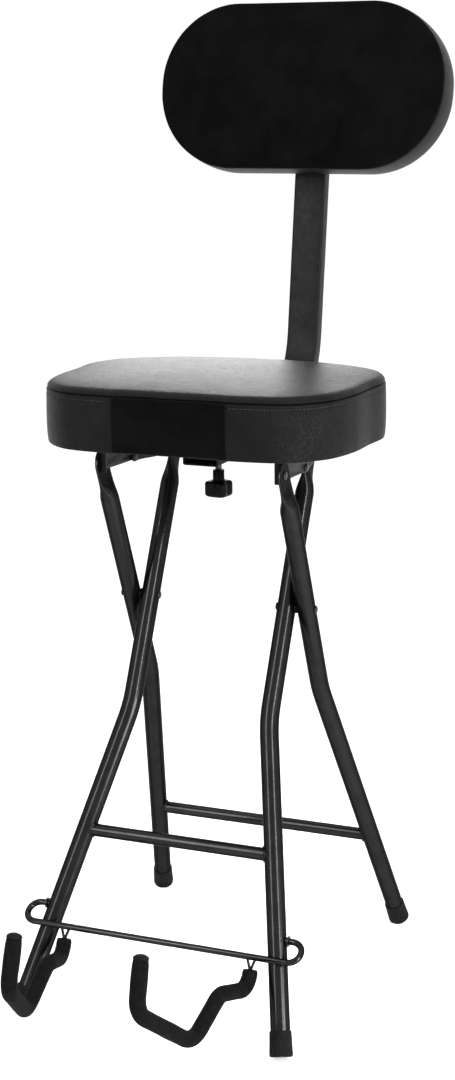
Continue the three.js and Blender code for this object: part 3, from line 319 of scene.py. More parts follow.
def fill(tree, node, sockets):
    """Sets a node's sockets, with _ for spaces in their names, to values or to other nodes' outputs."""
    for name, value in sockets.items():
        socket = node.inputs[name.replace("_", " ")]
        if isinstance(value, bpy.types.NodeSocket):
            tree.links.new(value, socket)
        else:
            socket.default_value = value
    return node


class Paint:
    """A material's node tree, with short calls for the nodes that the finishes share.

    Scales of noise and cells are per metre, and depths of relief are in millimetres.
    """

    def __init__(self, name, **sockets):
        self.material = bpy.data.materials.new(name)
        self.material.use_nodes = True
        self.tree = self.material.node_tree
        self.shader = self.tree.nodes["Principled BSDF"]
        self.place = self.node("TexCoord").outputs["Object"]
        self.relief = None
        self.shade(**sockets)

    def node(self, kind, **sockets):
        return fill(self.tree, self.tree.nodes.new("ShaderNode" + kind), sockets)

    def shade(self, **sockets):
        fill(self.tree, self.shader, sockets)

    def noise(self, scale, detail=3, roughness=0.5, stretch=None):
        place = self.place
        if stretch:
            place = self.node("Mapping", Scale=stretch, Vector=place).outputs["Vector"]
        texture = self.node("TexNoise", Scale=scale, Detail=detail, Roughness=roughness, Vector=place)
        return texture.outputs["Fac"]

    def cells(self, scale, feature="F1"):
        texture = self.node("TexVoronoi", Scale=scale, Vector=self.place)
        texture.feature = feature
        return texture.outputs["Distance"]

    def spread(self, factor, low, high, from_low=0.3, from_high=0.7):
        """The factor's range from_low to from_high brought to low to high."""
        ends = {"From_Min": from_low, "From_Max": from_high, "To_Min": low, "To_Max": high}
        return self.node("MapRange", Value=factor, **ends).outputs["Result"]

    def colour(self, factor, dark, light, from_low=0.3, from_high=0.7):
        ramp = self.node("ValToRGB", Fac=factor)
        first, last = ramp.color_ramp.elements
        first.position = from_low
        first.color = (*dark, 1)
        last.position = from_high
        last.color = (*light, 1)
        self.shade(Base_Color=ramp.outputs["Color"])

    def roughness(self, factor, low, high):
        self.shade(Roughness=self.spread(factor, low, high))

    def bump(self, height, depth):
        """Relief laid over what came before."""
        below = {"Normal": self.relief} if self.relief else {}
        self.relief = self.node("Bump", Height=height, Distance=depth * MM, **below).outputs["Normal"]
        self.shade(Normal=self.relief)


def finish(name, tone, dark, light, gloss, low, high, reliefs=(), **sockets):
    """A paint whose colour runs from dark to light and its roughness from low to high.

    tone and gloss are (scale, detail) of noise, and each relief is (scale, detail, depth).
    """
    paint = Paint(name, **sockets)
    paint.colour(paint.noise(*tone), dark, light)
    paint.roughness(paint.noise(*gloss), low, high)
    for scale, detail, depth in reliefs:
        paint.bump(paint.noise(scale, detail), depth)
    return paint


def grey(level, blue):
    return level, level, blue


def coat(name, dark, light, low, high, grain, **sockets):
    """Painted steel with a faint orange peel."""
    reliefs = [(420, 2, grain), (1600, 2, grain / 3)]
    return finish(name, (60, 3), dark, light, (140, 3), low, high, reliefs, **sockets)


def powder_coat(name, low, high, grain, shine):
    tones = grey(0.004, 0.0041), grey(0.008, 0.0082)
    return coat(name, *tones, low, high, grain, Specular_IOR_Level=shine)


def round_coat(name, low, high, grain):
    """Glossy black paint on round stock. Its black specular tint darkens the reflections towards the edges,
    which is painted shade standing in for dark surroundings.
    """
    tones = grey(0.019, 0.0192), grey(0.025, 0.0252)
    # The black Specular Tint is painted shade: it darkens the reflections towards the edges.
    return coat(name, *tones, low, high, grain, Metallic=0.85, Specular_Tint=(0, 0, 0, 1))


def leather():
    paint = finish(
        "grained_leather", tone=(35, 4), dark=grey(0.002, 0.0021), light=grey(0.0045, 0.0046),
        gloss=(90, 4), low=0.355, high=0.395, reliefs=[(45, 2, 0.02)], Specular_IOR_Level=0.085,
    )
    grain = paint.cells(380, "DISTANCE_TO_EDGE")
    paint.bump(paint.spread(grain, low=0, high=1, from_low=0, from_high=0.3), depth=0.35)
    paint.bump(paint.noise(1300, detail=2), depth=0.12)
    return paint


def velvet():
    sheen = {"Sheen_Weight": 0.03, "Sheen_Roughness": 0.4, "Sheen_Tint": (0.55, 0.55, 0.57, 1)}
    paint = Paint("velvet", Specular_IOR_Level=0.04, **sheen)
    pile = paint.noise(22, detail=5, roughness=0.65)
    paint.colour(pile, grey(0.0013, 0.0014), grey(0.0032, 0.0034), from_low=0.35, from_high=0.62)
    paint.roughness(paint.noise(300), low=0.85, high=1)
    paint.bump(paint.noise(30, detail=4, roughness=0.6), depth=0.7)
    paint.bump(paint.noise(1500), depth=0.28)
    return paint


def thread():
    paint = finish(
        "thread", tone=(900, 3), dark=grey(0.012, 0.012), light=grey(0.03, 0.03),
        gloss=(700, 3), low=0.5, high=0.7, Specular_IOR_Level=0.35,
    )
    paint.bump(paint.noise(2600, detail=2, stretch=(1, 1, 3)), depth=0.1)
    return paint


def sleeve_foam():
    paint = finish(
        "sleeve_foam", tone=(160, 4), dark=grey(0.003, 0.0032), light=grey(0.007, 0.0073),
        gloss=(500, 3), low=0.75, high=0.95, reliefs=[(60, 3, 0.5)], Specular_IOR_Level=0.06,
    )
    paint.bump(paint.cells(1500), depth=0.22)
    return paint


def plywood():
    paint = Paint("plywood", Specular_IOR_Level=0.3)
    grain = paint.noise(60, detail=6, roughness=0.7, stretch=(1, 9, 30))
    paint.colour(grain, dark=(0.20, 0.12, 0.055), light=(0.46, 0.30, 0.15))
    paint.roughness(paint.noise(200), low=0.6, high=0.8)
    paint.bump(grain, depth=0.25)
    return paint


PAINTS = {
    "leg_paint": round_coat("leg_coat", low=0.17, high=0.21, grain=0.003),
    "bracket_paint": powder_coat("bracket_coat", low=0.32, high=0.42, grain=0.02, shine=0.08),
    "bar_paint": powder_coat("bar_coat", low=0.34, high=0.45, grain=0.02, shine=0.1),
    "wire_paint": round_coat("gloss_coat", low=0.07, high=0.11, grain=0.004),
    "black_steel": finish(
        "black_steel", tone=(200, 4), dark=grey(0.008, 0.0083), light=grey(0.024, 0.0245),
        gloss=(500, 3), low=0.22, high=0.4, reliefs=[(1400, 3, 0.05)], Metallic=0.7,
    ),
    "zinc": finish(
        "zinc", tone=(240, 4), dark=grey(0.38, 0.39), light=grey(0.6, 0.6),
        gloss=(400, 3), low=0.25, high=0.42, reliefs=[(900, 3, 0.06)], Metallic=1,
    ),
    "cover_leather": leather(),
    "velvet": velvet(),
    "plywood": plywood(),
    "foot_rubber": finish(
        "rubber", tone=(70, 4), dark=grey(0.004, 0.004), light=grey(0.008, 0.0083),
        gloss=(260, 3), low=0.55, high=0.75, reliefs=[(900, 3, 0.08)], Specular_IOR_Level=0.09,
    ),
    "sleeve_foam": sleeve_foam(),
    "plastic": finish(
        "nylon", tone=(90, 3), dark=grey(0.002, 0.002), light=grey(0.004, 0.0042),
        gloss=(400, 3), low=0.32, high=0.46, reliefs=[(1800, 2, 0.04)], Specular_IOR_Level=0.06,
    ),
}
THREAD = thread()


# Meshes, where a shape is a list of points and a list of faces

def skin(rings, closed=False):
    """Shape over rings of equal counts. A closed skin joins its last ring to its first."""
    count = len(rings[0])
    points = [point for ring in rings for point in ring]
    bands = len(rings) if closed else len(rings) - 1
    faces = []
    for band in range(bands):
        here = band * count
        there = (band + 1) % len(rings) * count
        for j in range(count):
            k = (j + 1) % count
            faces.append((here + j, here + k, there + k, there + j))
    if not closed:
        faces.append(tuple(reversed(range(count))))
        faces.append(tuple(range(len(points) - count, len(points))))
    return points, faces


def joined(shapes):
    points, faces = [], []
    for more_points, more_faces in shapes:
        start = len(points)
        points.extend(more_points)
        faces.extend(tuple(start + i for i in face) for face in more_faces)
    return points, faces


def mirrored(shape):
    points, faces = shape
    return [Vector((-p[0], p[1], p[2])) for p in points], [tuple(reversed(face)) for face in faces]


def mesh_object(name, shape, place):
    points, faces = shape
    mesh = bpy.data.meshes.new(name)
    mesh.from_pydata([place @ Vector(point) for point in points], [], faces)
    work = bmesh.new()
    work.from_mesh(mesh)
    bmesh.ops.recalc_face_normals(work, faces=work.faces)
    work.to_mesh(mesh)
    work.free()
    piece = bpy.data.objects.new(name, mesh)
    bpy.context.scene.collection.objects.link(piece)
    return piece


def add(name, shape, body, slot, replaced=(), place=DRAWN, sharp=35, paint=None):
    """Piece that stands for the replaced solids. Edges that turn by over sharp degrees stay sharp."""
    piece = mesh_object(name, shape, place)
    piece.data.shade_smooth()
    piece.data.set_sharp_from_angle(angle=math.radians(sharp))
    piece.data.materials.append((paint or PAINTS[slot]).material)
    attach(piece, body)
    if replaced:
        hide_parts(*replaced)
    return piece


def add_pair(name, shape, body, slot, node=None, **options):
    """The right piece and its mirror image, each standing for its own node."""
    for side, one in ((RIGHT, shape), (LEFT, mirrored(shape))):
        add(name + side, one, body, slot, (node + side,) if node else (), **options)


def dress(names, slot, edge=0.35):
    """Gives solids that stay in view their material and edges softened by so many millimetres."""
    for name in names:
        node = frame["nodes"][name]
        node.data.materials.clear()
        node.data.materials.append(PAINTS[slot].material)
        node.data.shade_smooth()
        weld = node.modifiers.new("weld", "WELD")
        weld.merge_threshold = 0.01 * MM
        flats = node.modifiers.new("flats", "DECIMATE")
        flats.decimate_type = "DISSOLVE"
        flats.angle_limit = math.radians(1)
        bevel = node.modifiers.new("edge", "BEVEL")
        bevel.width = edge * MM
        bevel.segments = 2
        bevel.limit_method = "ANGLE"
        bevel.angle_limit = math.radians(50)
        bevel.harden_normals = True


# Lines and sections, where a station is a point and the line's direction there

def circle(radius, sides):
    turns = [2 * math.pi * i / sides for i in range(sides)]
    return [Vector((radius * math.cos(turn), radius * math.sin(turn))) for turn in turns]


def rounded_box(width, height, radius, steps):
    points = []
    for quarter, (sign_x, sign_y) in enumerate(((1, 1), (-1, 1), (-1, -1), (1, -1))):
        for step in range(steps + 1):
            turn = math.pi / 2 * (quarter + step / steps)
            x = sign_x * (width / 2 - radius) + radius * math.cos(turn)
            y = sign_y * (height / 2 - radius) + radius * math.sin(turn)
            points.append(Vector((x, y)))
    return points


def rounded_path(corners, radii, step):
    """Stations through the corners, with an arc at each inner corner in turns of at most step."""
    stations = [(corners[0], (corners[1] - corners[0]).normalized())]
    for i in range(1, len(corners) - 1):
        before = (corners[i] - corners[i - 1]).normalized()
        after = (corners[i + 1] - corners[i]).normalized()
        turn = before.angle(after)
        axis = before.cross(after).normalized()
        radius = radii[i - 1]
        first = corners[i] - before * radius * math.tan(turn / 2)
        centre = first + axis.cross(before) * radius
        steps = math.ceil(turn / step)
        for k in range(steps + 1):
            spin = Quaternion(axis, turn * k / steps)
            stations.append((centre + spin @ (first - centre), spin @ before))
    stations.append((corners[-1], (corners[-1] - corners[-2]).normalized()))
    return stations


def filled(stations, spacing):
    """The same line with extra stations on its straight runs."""
    result = [stations[0]]
    for (a, _), (b, heading) in zip(stations, stations[1:]):
        steps = max(1, math.ceil((b - a).length / spacing))
        previous = result[-1][1]
        for k in range(1, steps + 1):
            result.append((a.lerp(b, k / steps), previous.lerp(heading, k / steps).normalized()))
    return result


def rings_along(stations, sections, first=AXIS_X):
    """Rings of flat sections carried along the stations without twist. One section serves all."""
    if isinstance(sections[0], Vector):
        sections = [sections] * len(stations)
    heading = stations[0][1]
    side = (first - heading * first.dot(heading)).normalized()
    rings = []
    for (point, direction), section in zip(stations, sections):
        side = heading.rotation_difference(direction) @ side
        heading = direction
        up = heading.cross(side)
        rings.append([point + side * p.x + up * p.y for p in section])
    return rings


def rod(stations, section, first=AXIS_X):
    return skin(rings_along(stations, section, first))


def turned_x(profile, sides, y, z, closed=False):
    """Shape turned about a line along X from a profile of (place along X, radius)."""
    rings = []
    for x, radius in profile:
        rings.append([Vector((x, y + p.x, z + p.y)) for p in circle(max(radius, 0.01), sides)])
    return skin(rings, closed)


def smooth_line(points, steps):
    """Catmull-Rom line through points, each a tuple of numbers."""
    line = np.array(points, float)
    padded = np.vstack([2 * line[0] - line[1], line, 2 * line[-1] - line[-2]])
    result = []
    for a, b, c, d in zip(padded, padded[1:], padded[2:], padded[3:]):
        for t in np.arange(steps) / steps:
            curve = 2 * b + (c - a) * t + (2 * a - 5 * b + 4 * c - d) * t**2 + (3 * b - a - 3 * c + d) * t**3
            result.append(curve / 2)
    result.append(line[-1])
    return np.array(result)


def lengths_along(points):
    """How far along a line each of its points lies."""
    return np.concatenate([[0], np.cumsum(np.linalg.norm(np.diff(points, axis=0), axis=1))])


def even_loop(points, steps):
    """Closed loop of evenly spaced points along the given one."""
    closed = np.vstack([points, points[:1]])
    lengths = lengths_along(closed)
    places = np.arange(steps) / steps * lengths[-1]
    return np.column_stack([np.interp(places, lengths, closed[:, k]) for k in range(2)])


def loop_normals(loop):
    """Outward unit normals of a closed loop that runs anticlockwise."""
    along = np.roll(loop, -1, axis=0) - np.roll(loop, 1, axis=0)
    along /= np.linalg.norm(along, axis=1)[:, None]
    return np.column_stack([along[:, 1], -along[:, 0]])


# Legs, rungs and feet

def leg_point(leg, height):
    """Middle of the right leg's tube at a height."""
    drop = max(leg.bend_height - height, 0)
    x = leg.top_x + (leg.foot_x - leg.top_x) * drop / leg.bend_height
    return Vector((x, leg.facing * (SCISSOR_HEIGHT - height) * LEAN_SLOPE, height))


def sole(leg):
    """Centre of the foot's underside and the direction up the lower leg."""
    ground = leg_point(leg, 0)
    up = (leg_point(leg, leg.bend_height) - ground).normalized()
    level = FOOT_RADIUS * math.sin(up.angle(AXIS_Z)) - FOOT_FLAT
    return ground + up * level / up.z, up


def smooth_share(share):
    return share * share * (3 - 2 * share)


def leg_section(blend, width):
    """Section between the flattened end (blend 0) and the round tube (blend 1)."""
    section = []
    for unit in circle(1, TUBE_SIDES):
        flat_x = max(-1, min(1, FLAT_SHARPNESS * unit.x)) * FLAT_THICKNESS / 2
        flat = Vector((flat_x, unit.y * FLAT_HALF_WIDTH * width))
        section.append(flat.lerp(unit * TUBE_RADIUS, blend))
    return section


def leg_tube(leg):
    """Tube from its flattened top with a round tip, through the bend, into the foot."""
    top = leg_point(leg, LEG_TOP_HEIGHT)
    bend = leg_point(leg, leg.bend_height)
    down = (bend - top).normalized()
    upper = []
    for step in range(1, FLAT_TIP_STEPS + 1):
        turn = math.pi / 2 * step / FLAT_TIP_STEPS
        upper.append((-math.cos(turn) * FLAT_HALF_WIDTH, 0, math.sin(turn)))
    upper.append((FLAT_LENGTH, 0, 1))
    for step in range(1, FLAT_MORPH_STEPS + 1):
        share = step / FLAT_MORPH_STEPS
        upper.append((FLAT_LENGTH + FLAT_MORPH * share, smooth_share(share), 1))
    stations = [(top + down * place, down) for place, _, _ in upper]
    sections = [leg_section(blend, width) for _, blend, width in upper]
    point, up = sole(leg)
    corners = [stations[-1][0], bend, point + up * FOOT_SOLE]
    lower = rounded_path(corners, [LEG_BEND_RADIUS], LEG_BEND_STEP)[1:]
    sections += [leg_section(1, 1)] * len(lower)
    return skin(rings_along(stations + lower, sections))


def rung(leg, height):
    centre = leg_point(leg, height)
    ends = [(-centre.x, RUNG_RADIUS), (centre.x, RUNG_RADIUS)]
    return turned_x(ends, RUNG_SIDES, centre.y, centre.z)


def weld_bead(leg, height):
    """Bead of weld where the rung's end meets the leg, a little uneven."""
    centre = leg_point(leg, height)
    _, up = sole(leg)
    rings = []
    for i in range(BEAD_STEPS):
        turn = 2 * math.pi * i / BEAD_STEPS
        spoke = Vector((0, math.cos(turn), math.sin(turn)))
        offset = spoke * RUNG_RADIUS
        # Reach along X at which the rung's surface meets the tube's
        across = offset - up * offset.dot(up)
        side = AXIS_X - up * up.x
        a = side.dot(side)
        b = -2 * across.dot(side)
        c = across.dot(across) - TUBE_RADIUS**2
        reach = (-b + math.sqrt(b * b - 4 * a * c)) / (2 * a)
        point = centre + offset - AXIS_X * reach
        uneven = 1 + BEAD_UNEVENNESS * noise.noise(point * BEAD_LUMPS_PER_MM)
        rings.append([point + (spoke * p.x + AXIS_X * p.y) * uneven for p in circle(BEAD_RADIUS, BEAD_SIDES)])
    return skin(rings, closed=True)


def foot_profile():
    """Rows of (rise, radius, share of the flutes' depth) from the sole over the outside into the bore."""
    wide, narrow, top = FOOT_RADIUS, FOOT_TOP_RADIUS, FOOT_HEIGHT
    return [
        (0, wide - 2.2, 0), (0.35, wide - 1.1, 0), (1.2, wide - 0.3, 0.2), (2.4, wide, 0.6), (4, wide, 1),
        (top - 5, narrow + 0.1, 1), (top - 4.2, narrow + 0.1, 0.2), (top - 1, narrow, 0),
        (top - 0.3, narrow - 0.3, 0), (top, narrow - 0.9, 0),
        (top, FOOT_BORE, 0), (top - 3, FOOT_BORE, 0), (FOOT_SOLE, FOOT_BORE, 0),
    ]


def foot(leg):
    """Fluted rubber cap on the leg's end, cut level at the floor."""
    point, up = sole(leg)
    rings = []
    for rise, radius, share in foot_profile():
        section = []
        for i, unit in enumerate(circle(1, FLUTES * FLUTE_STEPS)):
            dip = FLUTE_DEPTH * share * (0.5 - 0.5 * math.cos(2 * math.pi * i / FLUTE_STEPS)) ** 2
            section.append(unit * (radius - dip))
        rings += rings_along([(point + up * rise, up)], section)
    for ring in rings:
        for place in ring:
            place.z = max(place.z, 0)
    return skin(rings)


def make_leg_frame(word, leg):
    body = word + "_leg_frame"
    height = RUNG_HEIGHTS[word]
    add_pair(word + "_leg_tube", leg_tube(leg), body, "leg_paint", word + "_leg", sharp=60)
    add(word + "_cross_rung", rung(leg, height), body, "leg_paint", (word + "_rung",), sharp=60)
    add_pair(word + "_weld_bead", weld_bead(leg, height), body, "leg_paint", sharp=180)
    add_pair(word + "_foot_cap", foot(leg), body, "foot_rubber", word + "_foot", sharp=40)


# Rivets and washers

def head_profile(face, away, radius):
    """Domed head from its tip to its rim, on the side of the face that away points to."""
    seat = face + away * GAP
    dome = []
    for step in range(HEAD_STEPS + 1):
        turn = math.pi / 2 * step / HEAD_STEPS
        dome.append((seat + away * HEAD_HEIGHT * math.cos(turn) ** HEAD_FULLNESS, radius * math.sin(turn)))
    return dome


def rivet(shank, inner_face, inner_head, outer_face, outer_head, y, z):
    """Rivet along X between two faces. A head radius of zero leaves that end flush."""
    inner = head_profile(inner_face, -1, inner_head) if inner_head else [(inner_face, 0)]
    outer = head_profile(outer_face, 1, outer_head)[::-1] if outer_head else [(outer_face, 0)]
    profile = [*inner, (inner[-1][0], shank), (outer[0][0], shank), *outer]
    return turned_x(profile, RIVET_SIDES, y, z)


def washer(radius, bore, start, end, y, z):
    profile = [
        (start, bore),
        (start, radius - WASHER_EDGE),
        (start + WASHER_EDGE, radius),
        (end - WASHER_EDGE, radius),
        (end, radius - WASHER_EDGE),
        (end, bore),
    ]
    return turned_x(profile, WASHER_SIDES, y, z, closed=True)


def make_rivets():
    front, rear, half = FRONT_LEG.top_x, REAR_LEG.top_x, FLAT_THICKNESS / 2
    outer = front + TUBE_RADIUS + GAP
    scissor = rivet(
        PIVOT_SHANK, front - TUBE_RADIUS, RIVET_HEAD, rear + TUBE_RADIUS, RIVET_HEAD, 0, SCISSOR_HEIGHT,
    )
    spacer = washer(SPACER_RADIUS, PIVOT_SHANK + GAP, outer, outer + SPACER_THICKNESS, 0, SCISSOR_HEIGHT)
    rail = rivet(RIVET_SHANK, RAIL_INNER, SMALL_HEAD, rear + half, RIVET_HEAD, -TOP_SPREAD, LEG_TOP_HEIGHT)
    top = rivet(RIVET_SHANK, front - half, RIVET_HEAD, front + half, 0, TOP_SPREAD, LEG_TOP_HEIGHT)
    inner = RAIL_INNER - GAP - LINK_THICKNESS
    link = rivet(RIVET_SHANK, inner, RIVET_HEAD, RAIL_OUTER, RIVET_HEAD, 0, LINK_PIVOT_HEIGHT)
    add_pair("scissor_rivet", scissor, "rear_leg_frame", "black_steel", "pivot_rivet")
    add_pair("scissor_spacer", spacer, "rear_leg_frame", "plastic", "pivot_spacer")
    add_pair("rail_rivet", rail, "rear_leg_frame", "black_steel", "seat_pivot_rivet")
    add_pair("front_top_rivet", top, "front_leg_frame", "black_steel", "leg_top_rivet")
    add_pair("lower_link_rivet", link, "seat", "black_steel", "link_rivet")


# Swelling of the cushions

def even_copy(name, shape, place):
    """The shape as an object with an even mesh."""
    copy = mesh_object(name, shape, place)
    remesh = copy.modifiers.new("remesh", "REMESH")
    remesh.mode = "VOXEL"
    remesh.voxel_size = SWELL_VOXEL * MM
    bpy.context.view_layer.update()
    even = bpy.data.meshes.new_from_object(copy.evaluated_get(bpy.context.evaluated_depsgraph_get()))
    copy.modifiers.clear()
    copy.data = even
    return copy


def blow_up(base):
    """Lets a cloth skin swell under pressure, and returns the swollen mesh."""
    cloth = base.modifiers.new("cloth", "CLOTH")
    for setting, value in CLOTH.items():
        setattr(cloth.settings, setting, value)
    cloth.settings.effector_weights.gravity = 0
    cloth.collision_settings.use_collision = False
    cloth.point_cache.frame_end = SWELL_FRAMES
    for moment in range(1, SWELL_FRAMES + 1):
        bpy.context.scene.frame_set(moment)
    return base.evaluated_get(bpy.context.evaluated_depsgraph_get()).to_mesh()


def swelling(name, shape, place, held):
    """Search tree of points on a cushion's skin, and their shifts in metres when the foam fills it."""
    base = even_copy(name, shape, place)
    rest = [vertex.co.copy() for vertex in base.data.vertices]
    group = base.vertex_groups.new(name="held")
    inverse = place.inverted()
    for i, point in enumerate(rest):
        group.add([i], held(inverse @ point), "REPLACE")
    swollen = blow_up(base)
    tree = kdtree.KDTree(len(rest))
    shifts = []
    for i, (start, vertex) in enumerate(zip(rest, swollen.vertices)):
        shift = vertex.co - start
        if shift.length > SWELL_LIMIT * MM:
            shift *= SWELL_LIMIT * MM / shift.length
        shifts.append(shift)
        tree.insert(start, i)
    tree.balance()
    pairs = np.array([edge.vertices[:] for edge in base.data.edges])
    bpy.context.scene.frame_set(1)
    bpy.data.objects.remove(base)
    return tree, [Vector(shift) for shift in taut(np.array(shifts), pairs)]


def taut(shifts, pairs):
    """The shifts evened out between neighbours, so that the swelling stays without its wrinkles."""
    neighbours = np.bincount(pairs.ravel(), minlength=len(shifts))[:, None]
    for _ in range(SWELL_ROUNDS):
        total = np.zeros_like(shifts)
        np.add.at(total, pairs[:, 0], shifts[pairs[:, 1]])
        np.add.at(total, pairs[:, 1], shifts[pairs[:, 0]])
        shifts = (shifts + total / neighbours) / 2
    return shifts


def carried(shape, place, swell):
    """The shape with each point moved by the swelling of the skin near it."""
    if swell is None:
        return shape
    tree, shifts = swell
    inverse = place.inverted()
    points = []
    for point in shape[0]:
        world = place @ Vector(point)
        total = Vector()
        weights = 0
        for _, index, distance in tree.find_n(world, SWELL_NEIGHBOURS):
            weight = 1 / (distance + MM)
            total += shifts[index] * weight
            weights += weight
        points.append(inverse @ (world + total / weights))
    return points, shape[1]


# Covers of the cushions, where a loop is their outline from above as an array

def ring_at(loop, inset, height):
    return [Vector((x, y, height)) for x, y in loop - loop_normals(loop) * inset]


def cover_rings(loop, profile, crown):
    """Rings of a cushion's face: up its profile, then over its crowned top towards the middle."""
    rings = [ring_at(loop, inset, height) for inset, height in profile]
    edge = np.array([p[:2] for p in rings[-1]])
    top = profile[-1][1]
    for share in CROWN_SHARES:
        height = top + crown * (1 - share * share)
        rings.append([Vector((x * share, y * share, height)) for x, y in edge])
    return rings


def uneven(point, waves):
    """Small lift of a point, from waves of (size, length)."""
    return sum(size * noise.noise(Vector(point) / length) for size, length in waves)


# Seat cushion

SEAT_SIDE_LINE = smooth_line(SEAT_SIDE, PROFILE_STEPS)


def seat_loop():
    right = [(x * SEAT_HALF_WIDTH, y * (SEAT_FRONT if y < 0 else SEAT_REAR)) for x, y in SEAT_SHARES]
    left = [(-x, y) for x, y in right[-2:0:-1]]
    closed = right + left
    line = smooth_line(closed[-2:] + closed + closed[:3], SEAT_CURVE_STEPS)
    lead = 2 * SEAT_CURVE_STEPS
    return even_loop(line[lead:-lead], SEAT_STEPS)


def seat_held(point):
    """Hold of the cover: stapled under the board, sewn at its seam and free elsewhere."""
    if point.z < SEAT_STAPLED_HEIGHT:
        return HOLD_FIXED
    seam = abs(point.z - SEAT_SEAM_HEIGHT)
    beside = abs(math.hypot(point.x / SEAT_HALF_WIDTH, point.y / SEAT_REAR) - 1)
    return HOLD_SEWN if seam < SEAM_REACH and beside < SEAM_RIM else HOLD_FREE


def side_inset(height):
    """Inset of the seat's side at a height."""
    insets, heights = SEAT_SIDE_LINE.T
    return float(np.interp(height, heights, insets))


def make_seat_cover(loop, swell):
    outer = cover_rings(loop, [*SEAT_FOOT, *SEAT_SIDE_LINE], SEAT_CROWN)
    lining = [(inset + COVER_THICKNESS, min(height, LINING_HEIGHT)) for inset, height in SEAT_SIDE_LINE[::6]]
    inner = cover_rings(loop, [LINING_FOOT, *lining], SEAT_CROWN - LINING_CROWN_DROP)
    drop = AXIS_Z * COVER_THICKNESS
    inner = [[p - drop if p.z > LINING_TOP_FROM else p for p in ring] for ring in inner]
    lip = ring_at(loop, *LINING_LIP)
    points, faces = carried(skin([*inner[::-1], lip, *outer]), SEAT, swell)
    waved = []
    for point in points:
        lift = uneven(point, SEAT_WAVES) if point[2] > SEAT_WAVES_FROM else 0
        waved.append(Vector(point) + AXIS_Z * lift)
    replaced = ("seat_cover", "seat_foam")
    cushion = add("seat_cushion", (waved, faces), "seat", "cover_leather", replaced, SEAT, sharp=70)


def make_seat_panel(loop, span, swell):
    """Velvet over the middle of the front side, with raised edges."""
    normals = loop_normals(loop)
    last = len(span) - 1
    places = np.linspace(0, len(PANEL_HEIGHTS) - 1, PANEL_ROWS)
    rings = []
    for height in np.interp(places, range(len(PANEL_HEIGHTS)), PANEL_HEIGHTS):
        face, back = [], []
        for place, i in enumerate(span):
            from_edge = min(place, last - place)
            piping = PANEL_PIPING * math.exp(-((from_edge - PANEL_PIPING_STEP) ** 2))
            for side, proud in ((face, PANEL_FACE + piping), (back, PANEL_BACK)):
                at = loop[i] + normals[i] * (proud - side_inset(height))
                side.append(Vector((*at, height)))
        rings.append(face + back[::-1])
    panel = carried(skin(rings), SEAT, swell)
    add("front_velvet_panel", panel, "seat", "velvet", ("seat_front_panel",), SEAT, sharp=70)


def stitches(points, outward):
    """Row of sewn stitches along a line, each a short thread that dips into the cover at its ends."""
    points = np.array(points)
    outward = np.array(outward)
    lengths = lengths_along(points)

    def along_row(values, place):
        return Vector([np.interp(place, lengths, values[:, k]) for k in range(3)])

    shapes = []
    for i in range(int(lengths[-1] / STITCH_PITCH)):
        rings = []
        for share, size in STITCH_SHAPE:
            place = (i + 0.5) * STITCH_PITCH + share * STITCH_LENGTH
            point = along_row(points, place)
            out = along_row(outward, place).normalized()
            along = (along_row(points, place + 0.5) - point).normalized()
            point += out * (STITCH_RISE - STITCH_DIP * share * share)
            side = along.cross(out)
            section = circle(STITCH_RADIUS, STITCH_SIDES)
            rings.append([point + (out * p.x + side * p.y) * size for p in section])
        shapes.append(skin(rings))
    return joined(shapes)


def make_seat_stitches(loop, span, swell):
    """Stitches under the seam, on the leather part of the side."""
    normals = loop_normals(loop)
    inset = side_inset(STITCH_HEIGHT)
    line = [Vector((*(loop[i] - normals[i] * inset), STITCH_HEIGHT)) for i in span]
    line, _ = carried((line, []), SEAT, swell)
    row = stitches(line, [(*normals[i], STITCH_TILT) for i in span])
    add("seat_stitches", row, "seat", "cover_leather", (), SEAT, sharp=70, paint=THREAD)


def make_seat():
    loop = seat_loop()
    body = cover_rings(loop, [SEAT_BODY_FOOT, *SEAT_SIDE_LINE[1:]], SEAT_CROWN)
    swell = swelling("seat_swelling", skin(body), SEAT, seat_held)
    make_seat_cover(loop, swell)
    front = int(np.argmin(np.abs(loop[:, 0]) + (loop[:, 1] > 0) * SEAT_HALF_WIDTH))
    half = round(PANEL_SPAN * SEAT_STEPS / 2)
    make_seat_panel(loop, [(front + i) % SEAT_STEPS for i in range(-half, half + 1)], swell)
    make_seat_stitches(loop, [(front + i) % SEAT_STEPS for i in range(half + 1, SEAT_STEPS - half)], swell)


# Backrest pad

PAD_FRONT_LINE = smooth_line(PAD_FRONT, PROFILE_STEPS)
PAD_SIDE_LINE = smooth_line(PAD_SIDE, PROFILE_STEPS)


def pad_loop():
    corners = rounded_box(*PAD_SIZE, PAD_CORNER, PAD_CORNER_STEPS)
    return even_loop(np.array([(p.x, p.y) for p in corners]), PAD_STEPS)


def pad_held(point):
    """Hold of the cover: stapled at its back, sewn at its seam and free elsewhere."""
    if point.z < PAD_STAPLED_HEIGHT:
        return HOLD_FIXED
    seam_low, seam_high = PAD_SEAM
    rim = math.hypot(point.x / (PAD_SIZE[0] / 2), point.y / (PAD_SIZE[1] / 2))
    return HOLD_SEWN if seam_low < point.z < seam_high and rim > PAD_SEAM_RIM else HOLD_FREE


def make_pad_front(loop, swell):
    outer = cover_rings(loop, PAD_FRONT_LINE, PAD_CROWN)
    lining = [(inset + COVER_THICKNESS, height) for inset, height in PAD_FRONT_LINE[::PROFILE_STEPS]]
    inner = cover_rings(loop, lining, PAD_CROWN)
    drop = AXIS_Z * COVER_THICKNESS
    inner[1:] = [[p - drop for p in ring] for ring in inner[1:]]
    points, faces = carried(skin([*inner[::-1], *outer]), PAD, swell)
    waved = [Vector(point) + AXIS_Z * uneven(point, PAD_WAVES) for point in points]
    replaced = ("backrest_front_cover", "backrest_foam")
    front = add("backrest_front", (waved, faces), "backrest", "velvet", replaced, PAD, sharp=70)


